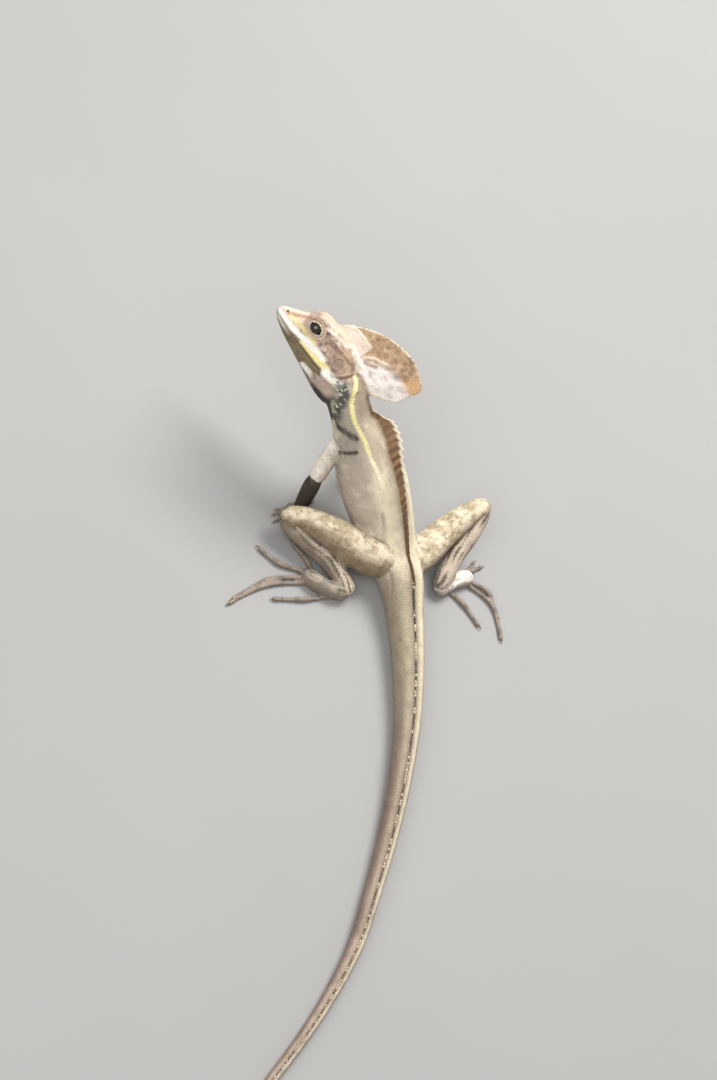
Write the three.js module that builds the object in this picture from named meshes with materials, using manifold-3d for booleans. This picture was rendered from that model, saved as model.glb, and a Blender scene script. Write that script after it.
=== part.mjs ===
// Brown basilisk, an adult male lizard at life size, propped on its forelegs with the tail laid out behind.
// Millimetres. +Y is the way the body points at the pelvis, +X is the animal's right and +Z is up.
// The origin is on the floor under the pelvis, where the underside has a small flat.

import * as THREE from 'three';
import { mergeVertices } from 'three/addons/utils/BufferGeometryUtils.js';
import Module from 'manifold-3d';

const wasm = await Module();
wasm.setup();

// Fits
const GAP = 0.3; // between pieces that touch
const PRESS = 0.15; // how far flesh on the floor is flattened
const FINEST = 0.04; // edges shorter than this are merged

// Head, measured along its own axes from the tip of the snout
const SNOUT = [-92.9, 71.6, 64.5];
const HEAD_YAW = 54; // degrees to the left
const HEAD_PITCH = 10; // degrees up
const HEAD_ROLL = 35; // degrees, left side up
const EYE = { back: 15.7, up: 10.5, out: 4.6, radius: 3.7 };
const EYE_OPENING = 2.6;
const ORBIT = { back: 16.6, up: 11.2, out: 4.3, long: 7.2, wide: 3.6, tall: 4.8 };
const LID_THICKNESS = 1.0;
const EAR = { back: 34.5, up: 9.2, out: 10.6, radius: 2.6, depth: 1.1 };
const NOSTRIL = { back: 2.6, up: 4.3, out: 3.4, radius: 0.65 };
const MOUTH_CORNER = 31;
const MOUTH_RISE = 1.1;

// Crest of the back
const CREST_RAYS = 26;
const CREST_LEAN = 0.35; // the rays lean back by this share of their height
const RAY_HALF = 0.7;
const WEB_HALF = 0.35;

// Serrated ridge of the tail
const SCUTE_PITCH = 5;
const SCUTE_HEIGHT = 1.8;
const RIDGE_TAPER = 0.62; // share of the height lost at the end of the tail

// Tail: a tall oval section that tapers, lying on the floor
const TAIL_WIDE = 0.94;
const TAIL_TALL = 1.1;
const TAIL_LINE = [
  // place on the floor and mean radius, from the tip to the vent
  [-151, -329, 0.45],
  [-128, -334, 0.95],
  [-103, -323, 1.45],
  [-78, -300, 2.0],
  [-55.8, -269.1, 2.7],
  [-34, -234.5, 3.15],
  [-17, -200, 3.75],
  [-7.4, -169, 4.2],
  [0.6, -138, 4.8],
  [6.4, -108, 5.5],
  [9.6, -78, 6.4],
  [9.3, -50, 7.5],
  [7.1, -27, 8.6],
  [4.3, -13, 10.2],
];

// Trunk and neck: place, roll in degrees, half width, rise to the back and drop to the belly
const TRUNK_LINE = [
  [0, 0, 13, 8, 12.3, 9.2, 13.6],
  [-9.6, 12.3, 20.2, 9, 15, 12.2, 15.5],
  [-21.8, 23.5, 31.7, 11, 16, 13.6, 18],
  [-34.5, 34, 44, 14, 13.2, 10.9, 15.5],
  [-44, 39.8, 52, 20, 10.6, 7.6, 12],
  [-52.6, 46, 59.5, 28, 9.8, 7.9, 12.3],
];

const SKULL_SQUARE = 0.82; // below 1 the sections are squarer than an ellipse
const SNOUT_MIDDLE = 1.2;
const MIDDLE_CLIMB = 3;
const MIDDLE_RUN = 20;
// Skull and jaw: distance behind the snout, underside, top and half width
const SKULL_LINE = [
  [41, -8.6, 13.4, 10.3],
  [35, -8, 16.4, 10.7],
  [29, -7, 18, 10],
  [23.5, -6.2, 18.9, 8.8],
  [18, -5.5, 17.5, 7.4],
  [13, -4.9, 13.6, 6.1],
  [8.5, -4, 9.7, 4.9],
  [4.5, -3, 6.9, 3.9],
  [1.5, -1.8, 5, 2.8],
  [-0.6, -0.4, 2.8, 1.2],
];

const SKINS = {
  hide: { color: '#b3a68c', roughness: 0.75 },
  tail: { color: '#a39775', roughness: 0.75 },
  leg: { color: '#c9bda0', roughness: 0.75 },
  foot: { color: '#b3a390', roughness: 0.7 },
  casque: { color: '#b79a78', roughness: 0.7 },
  crest: { color: '#8a6446', roughness: 0.7 },
  eye: { color: '#1e2226', roughness: 0.1 },
  ear: { color: '#8d7563', roughness: 0.6 },
};

// The rounded end of a tube, as shares of its radius
const STUB_LONG = 0.7;
const STUB_WIDE = 0.45;

const DEGREE = Math.PI / 180;
const UP = new THREE.Vector3(0, 0, 1);
const middleOf = (points) => points.reduce((sum, p) => sum.add(p), new THREE.Vector3()).divideScalar(points.length);

// Solids

function closedMesh(points, faces) {
  // Turns points and triangles into a solid, facing outwards.
  const vertProperties = new Float32Array(points.flatMap((p) => [p.x, p.y, p.z]));
  let volume = 0;
  for (const [a, b, c] of faces) {
    volume += points[a].dot(new THREE.Vector3().crossVectors(points[b], points[c]));
  }
  const outward = volume > 0 ? faces : faces.map(([a, b, c]) => [a, c, b]);
  return new wasm.Manifold(new wasm.Mesh({ numProp: 3, vertProperties, triVerts: new Uint32Array(outward.flat()) }));
}

function join(...solids) {
  return solids.reduce((whole, solid) => whole.add(solid));
}

function cut(solid, ...cutters) {
  return cutters.reduce((left, cutter) => left.subtract(cutter), solid);
}

function largest(solid) {
  return solid.decompose().reduce((best, piece) => (piece.volume() > best.volume() ? piece : best));
}

function aboveFloor(solid) {
  return solid.trimByPlane([0, 0, 1], 0);
}

// Lofts: a row is place, roll, half width, rise, drop and roundness of a section

function blend(rows, u) {
  // Catmull-Rom between rows, so that every number of a section changes smoothly.
  const i = Math.min(Math.floor(u), rows.length - 2);
  const f = u - i;
  const row = (k) => rows[Math.max(0, Math.min(rows.length - 1, k))];
  return rows[i].map((_, n) => {
    const [a, b, c, d] = [row(i - 1)[n], row(i)[n], row(i + 1)[n], row(i + 2)[n]];
    return b + 0.5 * f * (c - a + f * (2 * a - 5 * b + 4 * c - d + f * (3 * (b - c) + d - a)));
  });
}

function frameAt(rows, u) {
  // The section's place, and its forward, right and up directions.
  const step = 0.02;
  const place = new THREE.Vector3(...blend(rows, u));
  const before = new THREE.Vector3(...blend(rows, Math.max(0, u - step)));
  const after = new THREE.Vector3(...blend(rows, Math.min(rows.length - 1, u + step)));
  const forward = after.sub(before).normalize();
  const level = new THREE.Vector3().crossVectors(forward, UP).normalize();
  const steep = new THREE.Vector3().crossVectors(level, forward);
  const roll = blend(rows, u)[3] * DEGREE;
  const right = level.clone().multiplyScalar(Math.cos(roll)).addScaledVector(steep, -Math.sin(roll));
  const up = steep.clone().multiplyScalar(Math.cos(roll)).addScaledVector(level, Math.sin(roll));
  return { place, forward, right, up };
}

function ring(rows, u, sides, grow, shift) {
  const { place, forward, right, up } = frameAt(rows, u);
  const [, , , , half, rise, drop, round] = blend(rows, u);
  const power = (value) => Math.sign(value) * Math.abs(value) ** round;
  return Array.from({ length: sides }, (_, k) => {
    const angle = (k / sides) * 2 * Math.PI + Math.PI / 2;
    const tall = Math.sin(angle) > 0 ? rise : drop;
    return place
      .clone()
      .addScaledVector(forward, shift)
      .addScaledVector(right, (half + grow) * power(Math.cos(angle)))
      .addScaledVector(up, (tall + grow) * power(Math.sin(angle)));
  });
}

function skinned(rings) {
  // Joins rings of equal count into a tube and closes both ends.
  const sides = rings[0].length;
  const points = [...rings.flat(), middleOf(rings[0]), middleOf(rings.at(-1))];
  const start = points.length - 2;
  const lastRing = (rings.length - 1) * sides;
  const faces = [];
  for (let k = 0; k < sides; k += 1) {
    const next = (k + 1) % sides;
    for (let r = 0; r < rings.length - 1; r += 1) {
      const [a, b] = [r * sides + k, r * sides + next];
      faces.push([a, b, b + sides], [a, b + sides, a + sides]);
    }
    faces.push([start, next, k], [start + 1, lastRing + k, lastRing + next]);
  }
  return closedMesh(points, faces);
}

function loft(rows, { from = 0, to = rows.length - 1, perSpan = 3, sides = 12, grow = 0, inset = 0 } = {}) {
  const count = Math.max(1, Math.ceil((to - from) * perSpan));
  const rings = Array.from({ length: count + 1 }, (_, k) => {
    const shift = k === 0 ? inset : k === count ? -inset : 0;
    return ring(rows, from + ((to - from) * k) / count, sides, grow, shift);
  });
  return skinned(rings);
}

function tube(points, { sides = 6, perSpan = 2, grow = 0 } = {}) {
  // Points are place and radius; the ends are rounded off.
  const rows = points.map(([x, y, z, radius]) => [x, y, z, 0, radius, radius, radius, 1]);
  const stub = (index, inner) => {
    const end = new THREE.Vector3(...rows[index]);
    const away = end.clone().sub(new THREE.Vector3(...rows[inner])).normalize();
    const radius = rows[index][4];
    end.addScaledVector(away, radius * STUB_LONG + grow);
    return [end.x, end.y, end.z, 0, ...Array(3).fill(radius * STUB_WIDE), 1];
  };
  const closed = [stub(0, 1), ...rows, stub(rows.length - 1, rows.length - 2)];
  return loft(closed, { perSpan, sides, grow });
}

function ball(place, radius, sides = 16, squash = 1, axis = UP) {
  // A sphere, or a lens flattened along the axis.
  const shape = new THREE.SphereGeometry(radius, sides, sides / 2);
  shape.rotateX(Math.PI / 2);
  shape.scale(1, 1, squash);
  shape.applyQuaternion(new THREE.Quaternion().setFromUnitVectors(UP, axis));
  shape.translate(place.x, place.y, place.z);
  return fromGeometry(shape);
}

function fromGeometry(geometry) {
  const bare = geometry.clone();
  bare.deleteAttribute('normal');
  bare.deleteAttribute('uv');
  const merged = mergeVertices(bare, 1e-4);
  const vertProperties = new Float32Array(merged.attributes.position.array);
  return new wasm.Manifold(new wasm.Mesh({ numProp: 3, vertProperties, triVerts: new Uint32Array(merged.index.array) }));
}

function vane(columns, levels) {
  // A thin upright sheet: each column gives its foot, edge, side direction and half thickness at each level.
  const face = (sign) =>
    columns.flatMap(({ foot, edge, side, half }) =>
      Array.from({ length: levels + 1 }, (_, k) =>
        foot.clone().lerp(edge, k / levels).addScaledVector(side, sign * half(k / levels)),
      ),
    );
  const points = [...face(1), ...face(-1)];
  const tall = levels + 1;
  const other = columns.length * tall;
  const faces = [];
  const quad = (a, b, c, d) => faces.push([a, b, c], [a, c, d]);
  for (let i = 0; i < columns.length - 1; i += 1) {
    for (let k = 0; k < levels; k += 1) {
      const a = i * tall + k;
      const corners = [a, a + tall, a + tall + 1, a + 1];
      quad(...corners);
      faces.push([corners[2] + other, corners[1] + other, corners[0] + other]);
      faces.push([corners[3] + other, corners[2] + other, corners[0] + other]);
    }
    const low = i * tall;
    quad(low, low + other, low + tall + other, low + tall);
    const high = low + levels;
    quad(high + tall, high + tall + other, high + other, high);
  }
  for (let k = 0; k < levels; k += 1) {
    const last = (columns.length - 1) * tall + k;
    quad(k, k + 1, k + 1 + other, k + other);
    quad(last + 1, last, last + other, last + 1 + other);
  }
  return closedMesh(points, faces);
}

// The head's own axes

const headForward = new THREE.Vector3(
  -Math.sin(HEAD_YAW * DEGREE) * Math.cos(HEAD_PITCH * DEGREE),
  Math.cos(HEAD_YAW * DEGREE) * Math.cos(HEAD_PITCH * DEGREE),
  Math.sin(HEAD_PITCH * DEGREE),
);
const headLevel = new THREE.Vector3().crossVectors(headForward, UP).normalize();
const headSteep = new THREE.Vector3().crossVectors(headLevel, headForward);
const headUp = headSteep
  .clone()
  .multiplyScalar(Math.cos(HEAD_ROLL * DEGREE))
  .addScaledVector(headLevel, Math.sin(HEAD_ROLL * DEGREE));
const headLeft = new THREE.Vector3().crossVectors(headUp, headForward);

function onHead(back, left, up) {
  return new THREE.Vector3(...SNOUT)
    .addScaledVector(headForward, -back)
    .addScaledVector(headLeft, left)
    .addScaledVector(headUp, up);
}

function headTube(points, side, options) {
  // Points are back, out, up and radius, on the left for side 1 and on the right for side -1.
  return tube(
    points.map(([back, out, up, radius]) => [...onHead(back, side * out, up), radius]),
    options,
  );
}

// The whole line of the body, from the tip of the tail to the tip of the snout

const tailRows = TAIL_LINE.map(([x, y, radius]) => {
  const tall = radius * TAIL_TALL;
  return [x, y, tall - PRESS, 0, radius * TAIL_WIDE, tall, tall, 1];
});
const trunkRows = TRUNK_LINE.map((row) => [...row, 1]);
const skullRows = SKULL_LINE.map(([back, under, top, half]) => {
  // The middle line climbs from the snout and runs level through the back of the skull.
  const middle = SNOUT_MIDDLE + MIDDLE_CLIMB * Math.min(1, (back + 0.6) / MIDDLE_RUN) ** 0.7;
  const centre = onHead(back, 0, middle);
  return [centre.x, centre.y, centre.z, HEAD_ROLL, half, top - middle, middle - under, SKULL_SQUARE];
});
const BODY = [...tailRows, ...trunkRows, ...skullRows];
const PELVIS_ROW = tailRows.length;
const NECK_ROW = PELVIS_ROW + 4;
const SKULL_ROW = PELVIS_ROW + trunkRows.length - 1;
const TAIL_BASE = PELVIS_ROW - 1.4;

// Lengths of the body line: where each starts and ends, sections for each span, and sides
const LENGTHS = {
  tail_5: [0, 3, 4, 10, 'tail'],
  tail_4: [3, 5.5, 4, 12, 'tail'],
  tail_3: [5.5, 8, 4, 12, 'tail'],
  tail_2: [8, 10.5, 4, 14, 'tail'],
  tail_1: [10.5, TAIL_BASE, 4, 16, 'tail'],
  hips: [TAIL_BASE, PELVIS_ROW + 1.1, 5, 20, 'hide'],
  belly: [PELVIS_ROW + 1.1, PELVIS_ROW + 2.4, 5, 20, 'hide'],
  chest: [PELVIS_ROW + 2.4, PELVIS_ROW + 3.6, 5, 20, 'hide'],
  neck: [PELVIS_ROW + 3.6, SKULL_ROW, 5, 20, 'hide'],
};

function bodyLength(from, to, perSpan, sides, grow = 0) {
  return loft(BODY, { from, to, perSpan, sides, grow, inset: grow > 0 ? 0 : GAP / 2 });
}

const wideBody = bodyLength(TAIL_BASE - 1, SKULL_ROW + 2, 5, 20, GAP);

// Serrated ridge: small leaning scutes along the top of the tail

function scute(u, scale) {
  const { place, forward, right, up } = frameAt(BODY, u);
  const rise = blend(BODY, u)[5];
  const top = place.clone().addScaledVector(up, rise);
  const height = SCUTE_HEIGHT * scale;
  const long = SCUTE_PITCH * 0.52 * scale;
  const wide = 0.85 * scale;
  const root = Math.min(0.9 * scale, rise * 0.6);
  const corner = (a, b) => top.clone().addScaledVector(forward, a * long).addScaledVector(right, b * wide);
  const low = [corner(1, 0), corner(0, 1), corner(-1, 0), corner(0, -1)].map((p) => p.addScaledVector(up, -root));
  const tip = top.clone().addScaledVector(up, height).addScaledVector(forward, -height * 0.7);
  const faces = [
    [0, 1, 4],
    [1, 2, 4],
    [2, 3, 4],
    [3, 0, 4],
    [0, 2, 1],
    [0, 3, 2],
  ];
  return closedMesh([...low, tip], faces);
}

function scutesBetween(from, to) {
  const solids = [];
  let u = to;
  for (;;) {
    const tailShare = 1 - u / TAIL_BASE;
    const scale = 1 - RIDGE_TAPER * Math.max(0, tailShare);
    const here = new THREE.Vector3(...blend(BODY, u));
    const reach = here.distanceTo(new THREE.Vector3(...blend(BODY, Math.max(0, u - 0.1)))) * 10;
    const step = (SCUTE_PITCH * (0.6 + 0.4 * scale)) / reach;
    u -= step;
    if (u < from + step * 0.9) {
      return solids;
    }
    solids.push(scute(u, scale));
  }
}

// Crest of the back: a thin web with raised rays

function crestHeight(u) {
  // Rises steeply at the base of the neck and falls away slowly to the hips.
  const behind = NECK_ROW + 0.08 - u;
  const rise = Math.min(1, behind / 0.38) ** 0.7;
  const fall = Math.exp(-((Math.max(0, behind - 1.1) / 1.6) ** 0.9));
  return 8 * rise * Math.max(0.22, fall);
}

function backCrest() {
  const columns = [];
  const first = NECK_ROW + 0.06;
  const last = TAIL_BASE + 0.1;
  for (let k = 0; k <= CREST_RAYS * 2; k += 1) {
    const u = first + ((last - first) * k) / (CREST_RAYS * 2);
    const { place, forward, right, up } = frameAt(BODY, u);
    const isRay = k % 2 === 1;
    const height = Math.max(0.5, crestHeight(u) * (isRay ? 1.05 : 0.94));
    const top = place.clone().addScaledVector(up, blend(BODY, u)[5]);
    const strength = isRay ? RAY_HALF : WEB_HALF;
    columns.push({
      foot: top.clone().addScaledVector(up, -1.2),
      edge: top.clone().addScaledVector(up, height).addScaledVector(forward, -height * CREST_LEAN),
      side: right,
      half: (level) => strength * (1 - 0.55 * level) + 0.5 * (1 - level) ** 3,
    });
  }
  return vane(columns, 2);
}

// Casque: the thin blade of skin over the back of the head

function casque() {
  // Outer edge and root of each column, as back and up on the head.
  const outline = new THREE.SplineCurve(
    [
      [19.5, 16],
      [23.6, 22.5],
      [32.7, 29.9],
      [39.1, 33.5],
      [46, 35.4],
      [52.5, 36.3],
      [58, 35.6],
      [63.3, 33.4],
      [67.6, 31],
      [66.1, 23.8],
      [65.2, 18.6],
      [61.4, 15.1],
      [57, 13.1],
      [52.5, 9.2],
    ].map(([back, up]) => new THREE.Vector2(back, up)),
  );
  const root = new THREE.SplineCurve(
    [
      [22, 12.5],
      [33, 12.5],
      [43, 10],
      [47, 6],
      [46, 2],
    ].map(([back, up]) => new THREE.Vector2(back, up)),
  );
  const columns = outline.getPoints(20).map((edge, k) => {
    const foot = root.getPoint(k / 20);
    return {
      foot: onHead(foot.x, 0, foot.y),
      edge: onHead(edge.x, 0, edge.y),
      side: headLeft,
      half: (level) => 0.4 + 5.4 * (1 - level) ** 1.8,
    };
  });
  return vane(columns, 4);
}

// Details of the head

function headDetails(side) {
  const brow = headTube(
    [
      [2.2, 2.4, 4.4, 0.7],
      [5.5, 3.2, 6, 0.8],
      [9, 4.1, 7.6, 0.9],
      [12, 6, 12.9, 0.9],
      [15.8, 6.2, 15.1, 1.2],
      [20, 6.4, 15, 1.3],
      [25, 6.3, 15.6, 1.1],
      [30.5, 6.9, 15.4, 0.8],
    ],
    side,
    { perSpan: 1 },
  );
  const lips = [0.9, -1.3].map((up, row) =>
    headTube(
      Array.from({ length: 9 }, (_, k) => {
        const back = 1.2 + ((MOUTH_CORNER - 1.2) * k) / 8;
        const out = 2.0 + 8.0 * (back / MOUTH_CORNER) ** 0.62 - 0.35 * row;
        return [back, out, up + MOUTH_RISE * (back / MOUTH_CORNER) ** 3, k % 2 ? 0.85 : 0.62];
      }),
      side,
      { perSpan: 1, sides: 5 },
    ),
  );
  const earFold = headTube(
    [
      [37.6, 8.9, 12.6, 0.7],
      [39, 9.8, 9, 0.9],
      [38.6, 9.9, 5.4, 0.7],
    ],
    side,
    { perSpan: 1 },
  );
  return join(brow, orbit(side), ...lips, earFold);
}

function orbit(side, grow = 0) {
  // The swelling of the skull over and round the eye.
  const shape = new THREE.SphereGeometry(1, 12, 7);
  shape.scale(ORBIT.long + grow, ORBIT.wide + grow, ORBIT.tall + grow);
  shape.applyMatrix4(new THREE.Matrix4().makeBasis(headForward, headLeft, headUp));
  const middle = onHead(ORBIT.back, side * ORBIT.out, ORBIT.up);
  shape.translate(middle.x, middle.y, middle.z);
  return fromGeometry(shape);
}

function eyeCentre(side) {
  return onHead(EYE.back, side * EYE.out, EYE.up);
}

function lids(side) {
  // A closed ring of skin round the opening of the eye.
  const reach = EYE_OPENING + LID_THICKNESS;
  const depth = EYE.out + Math.sqrt(EYE.radius ** 2 - EYE_OPENING ** 2) - 0.35;
  const shape = new THREE.TorusGeometry(reach, LID_THICKNESS, 5, 14);
  shape.applyQuaternion(new THREE.Quaternion().setFromUnitVectors(UP, headLeft));
  const middle = onHead(EYE.back, side * depth, EYE.up);
  shape.translate(middle.x, middle.y, middle.z);
  return fromGeometry(shape);
}

function mouthCut() {
  // A thin slab that follows the line of the mouth and drops to the throat behind its corner.
  const line = [
    [-3, 0.1],
    [8, -0.2],
    [18, 0.2],
    [25, 0.6],
    [MOUTH_CORNER, MOUTH_RISE],
    [34.5, -3.5],
    [37, -14],
  ];
  const shape = new THREE.Shape();
  line.forEach(([back, up], k) => (k ? shape.lineTo(back, up + GAP / 2) : shape.moveTo(back, up + GAP / 2)));
  [...line].reverse().forEach(([back, up], k) => shape.lineTo(back - (k < 3 ? GAP : 0), up - GAP / 2));
  const slab = new THREE.ExtrudeGeometry(shape, { depth: 40, bevelEnabled: false });
  slab.translate(0, 0, -20);
  const place = new THREE.Matrix4().makeBasis(headForward.clone().negate(), headUp, headLeft);
  place.setPosition(new THREE.Vector3(...SNOUT));
  slab.applyMatrix4(place);
  return fromGeometry(slab);
}

// Legs: points are place and radius, from the root to the end

const THIGH_LEFT = [
  [-8, -3, 13, 9.5],
  [-18.6, -4.2, 13.2, 9],
  [-29.7, -0.8, 14.2, 8.6],
  [-42, 2, 14.6, 7],
  [-51, 3.6, 14, 5.6],
  [-56.6, 3, 12.8, 4.6],
];
const SHIN_LEFT = [
  [-55.5, 2.2, 10.4, 4.3],
  [-49.2, -0.6, 9.4, 4.9],
  [-40.2, -4.8, 8.3, 4.9],
  [-31.4, -9.6, 7.1, 4.7],
  [-24.1, -16.4, 5.8, 4.3],
  [-21.1, -20.8, 5, 4.2],
];
const THIGH_RIGHT = [
  [7, 0, 12.5, 8.6],
  [16.8, 9.8, 13.6, 8],
  [22.1, 16.3, 15.6, 7.3],
  [30, 24.7, 18.6, 6.3],
  [37.1, 31.6, 21, 5.2],
  [42, 34.9, 22, 4.4],
];
const SHIN_RIGHT = [
  [42.6, 33.5, 20, 4.2],
  [38.1, 22.1, 15, 4.9],
  [33.2, 11.7, 10.5, 4.5],
  [28.4, -2.6, 5.6, 4.2],
];
const UPPER_ARM_LEFT = [
  [-41, 36.5, 41, 4.6],
  [-43.9, 33.1, 38, 4.6],
  [-46.1, 28.2, 32, 4.3],
  [-48.6, 20.8, 25, 4.1],
];
const FOREARM_LEFT = [
  [-49.1, 18.9, 23, 3.8],
  [-47.6, 17.3, 14.5, 3.9],
  [-46, 15.4, 5, 3],
];
const UPPER_ARM_RIGHT = [
  [-31, 39, 39, 4.6],
  [-27, 42, 36.5, 4.6],
  [-21.5, 45, 30, 4.3],
  [-16.5, 47.5, 24, 4.1],
];
const FOREARM_RIGHT = [
  [-15.8, 48, 22.4, 3.8],
  [-14.6, 51, 14, 3.9],
  [-14, 53.6, 5, 3],
];

// Feet and hands: a palm on the floor and digits given as places on the floor

const FOOT_LEFT = {
  palm: [
    [-22, -21.4, 4, 4],
    [-31, -21.5, 3.4, 4.2],
    [-40, -18, 2.6, 4.3],
  ],
  digits: [
    [[-34, -17], [-40.5, -8.5], [-47.1, -2.1]],
    [[-40, -15], [-54.2, -14.9], [-64.1, -10.1]],
    [[-41, -18], [-59.6, -24.8], [-77.2, -39.8]],
    [[-40, -20.5], [-60.4, -27.8], [-79.1, -42.8]],
    [[-27, -23.5], [-41, -29.4], [-56.1, -33.7]],
  ],
  radius: 1.5,
  sides: 5,
};
const FOOT_RIGHT = {
  palm: [
    [29, -3.6, 4.2, 4.1],
    [36.5, 3, 3.4, 4],
    [44, 7.4, 2.6, 4],
  ],
  digits: [
    [[41, 8], [46, 13], [49.3, 17.8]],
    [[44, 8.4], [48.6, 13.6], [53, 16.6]],
    [[45, 7], [56.5, 4.5], [61.8, -7]],
    [[45, 5], [58.4, -1.4], [63.5, -17.9]],
    [[34, -1.4], [42, -5.2], [51.1, -14.7]],
  ],
  radius: 1.45,
  sides: 5,
};
const HAND_LEFT = {
  palm: [
    [-46, 15.6, 3.4, 3.2],
    [-49.5, 14.8, 2.4, 3.4],
  ],
  digits: [
    [[-46.5, 17], [-41.5, 20.6], [-37.3, 23.6]],
    [[-49, 16], [-51.8, 15.2], [-54.6, 14]],
    [[-50, 15], [-53.2, 13], [-56.2, 11]],
    [[-50, 14], [-53, 10.4], [-55.8, 7.6]],
    [[-48, 13], [-49.6, 9], [-50.6, 5.4]],
  ],
  radius: 1.15,
  sides: 4,
};
const HAND_RIGHT = {
  palm: [
    [-14, 53.6, 3.4, 3.2],
    [-12.8, 56.2, 2.4, 3.4],
  ],
  digits: [
    [[-14.5, 57.5], [-17.6, 60.6], [-19.4, 62.8]],
    [[-13.5, 58], [-14.8, 63.4], [-15.2, 67.4]],
    [[-12.5, 58], [-11, 64.4], [-9.8, 68.8]],
    [[-11.5, 57.5], [-7.6, 62.4], [-4.8, 65.8]],
    [[-11, 56], [-6.4, 57.8], [-2.6, 58.8]],
  ],
  radius: 1.15,
  sides: 4,
};

function digit(places, radius, sides) {
  // Two joints show as swellings, and a hooked claw ends the digit on the floor.
  const path = new THREE.CatmullRomCurve3(places.map(([x, y]) => new THREE.Vector3(x, y, 0)));
  const swell = [1.05, 0.8, 1.02, 0.78, 0.86];
  const points = swell.map((share, k) => {
    const at = path.getPoint(k / (swell.length - 1));
    const thick = radius * share;
    return [at.x, at.y, Math.max(thick, radius * 0.75) - PRESS, thick];
  });
  const [tip, before] = [points.at(-1), points.at(-2)];
  const ahead = new THREE.Vector3(tip[0] - before[0], tip[1] - before[1], 0).normalize();
  const along = (far, up, thick) => [tip[0] + ahead.x * far, tip[1] + ahead.y * far, up, thick];
  const claw = tube([along(0, tip[2] + 0.1, radius * 0.5), along(1.7, tip[2] + 0.3, 0.42), along(3.2, 0.45, 0.2)], {
    sides: 4,
    perSpan: 1,
  });
  return join(tube(points, { perSpan: 1, sides }), claw);
}

function paw({ palm, digits, radius, sides }) {
  const sole = tube(palm, { sides: 9, perSpan: 1 });
  return join(sole, ...digits.map((places) => digit(places, radius, sides)));
}

// Assembly

const model = new THREE.Group();

function place(name, solid, skin) {
  const piece = largest(solid).simplify(FINEST);
  const { vertProperties, triVerts } = piece.getMesh();
  const geometry = new THREE.BufferGeometry();
  geometry.setAttribute('position', new THREE.BufferAttribute(vertProperties, 3));
  geometry.setIndex(new THREE.BufferAttribute(triVerts, 1));
  geometry.computeVertexNormals();
  const material = new THREE.MeshStandardMaterial({ ...SKINS[skin], metalness: 0 });
  const mesh = new THREE.Mesh(geometry, material);
  mesh.name = name;
  model.add(mesh);
}

for (const [name, [from, to, perSpan, sides, skin]] of Object.entries(LENGTHS)) {
  const scutes = name.startsWith('tail') ? scutesBetween(from, to) : [];
  place(name, aboveFloor(join(bodyLength(from, to, perSpan, sides), ...scutes)), skin);
}
place('back_crest', cut(backCrest(), wideBody), 'crest');

const skull = bodyLength(SKULL_ROW, BODY.length - 1, 2, 20);
const earPlace = (side, out) => onHead(EAR.back, side * out, EAR.up);
let head = join(skull, ...[1, -1].flatMap((side) => [headDetails(side), lids(side)]));
for (const side of [1, -1]) {
  const away = headLeft.clone().multiplyScalar(side);
  head = cut(
    head,
    ball(eyeCentre(side), EYE.radius + GAP, 14),
    ball(earPlace(side, EAR.out), EAR.radius + GAP, 12, EAR.depth / EAR.radius, away),
    ball(onHead(NOSTRIL.back, side * NOSTRIL.out, NOSTRIL.up), NOSTRIL.radius, 8),
  );
}
const neckWide = bodyLength(PELVIS_ROW + 3, SKULL_ROW, 5, 20, GAP);
const skullWide = bodyLength(SKULL_ROW - 1, BODY.length - 1, 2, 20, GAP);
place('casque', cut(casque(), skullWide, neckWide, orbit(1, GAP), orbit(-1, GAP)), 'casque');
const parted = cut(head, neckWide, mouthCut()).decompose();
const bySize = parted.sort((a, b) => b.volume() - a.volume());
place('head', bySize[0], 'casque');
place('lower_jaw', bySize[1], 'hide');

for (const [side, name] of [
  [1, 'left'],
  [-1, 'right'],
]) {
  const away = headLeft.clone().multiplyScalar(side);
  place(`eye_${name}`, ball(eyeCentre(side), EYE.radius, 14), 'eye');
  place(`ear_${name}`, ball(earPlace(side, EAR.out - 0.5), EAR.radius - 0.2, 12, 0.2, away), 'ear');
}

const limbs = [
  ['left', THIGH_LEFT, SHIN_LEFT, FOOT_LEFT, UPPER_ARM_LEFT, FOREARM_LEFT, HAND_LEFT],
  ['right', THIGH_RIGHT, SHIN_RIGHT, FOOT_RIGHT, UPPER_ARM_RIGHT, FOREARM_RIGHT, HAND_RIGHT],
];
for (const [side, thigh, shin, foot, upperArm, forearm, hand] of limbs) {
  const limb = { sides: 10 };
  const wide = { sides: 10, grow: GAP };
  place(`thigh_${side}`, cut(tube(thigh, limb), wideBody, tube(shin, wide)), 'leg');
  place(`shin_${side}`, aboveFloor(tube(shin, limb)), 'leg');
  place(`foot_${side}`, aboveFloor(cut(paw(foot), tube(shin, wide))), 'foot');
  place(`upper_arm_${side}`, cut(tube(upperArm, limb), wideBody), 'leg');
  place(`forearm_${side}`, cut(tube(forearm, limb), tube(upperArm, wide)), 'leg');
  place(`hand_${side}`, aboveFloor(cut(paw(hand), tube(forearm, wide))), 'foot');
}

export default model;
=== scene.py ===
import math

import bmesh
import bpy
import numpy as np
from mathutils import Matrix, Vector
from mathutils.bvhtree import BVHTree


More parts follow.
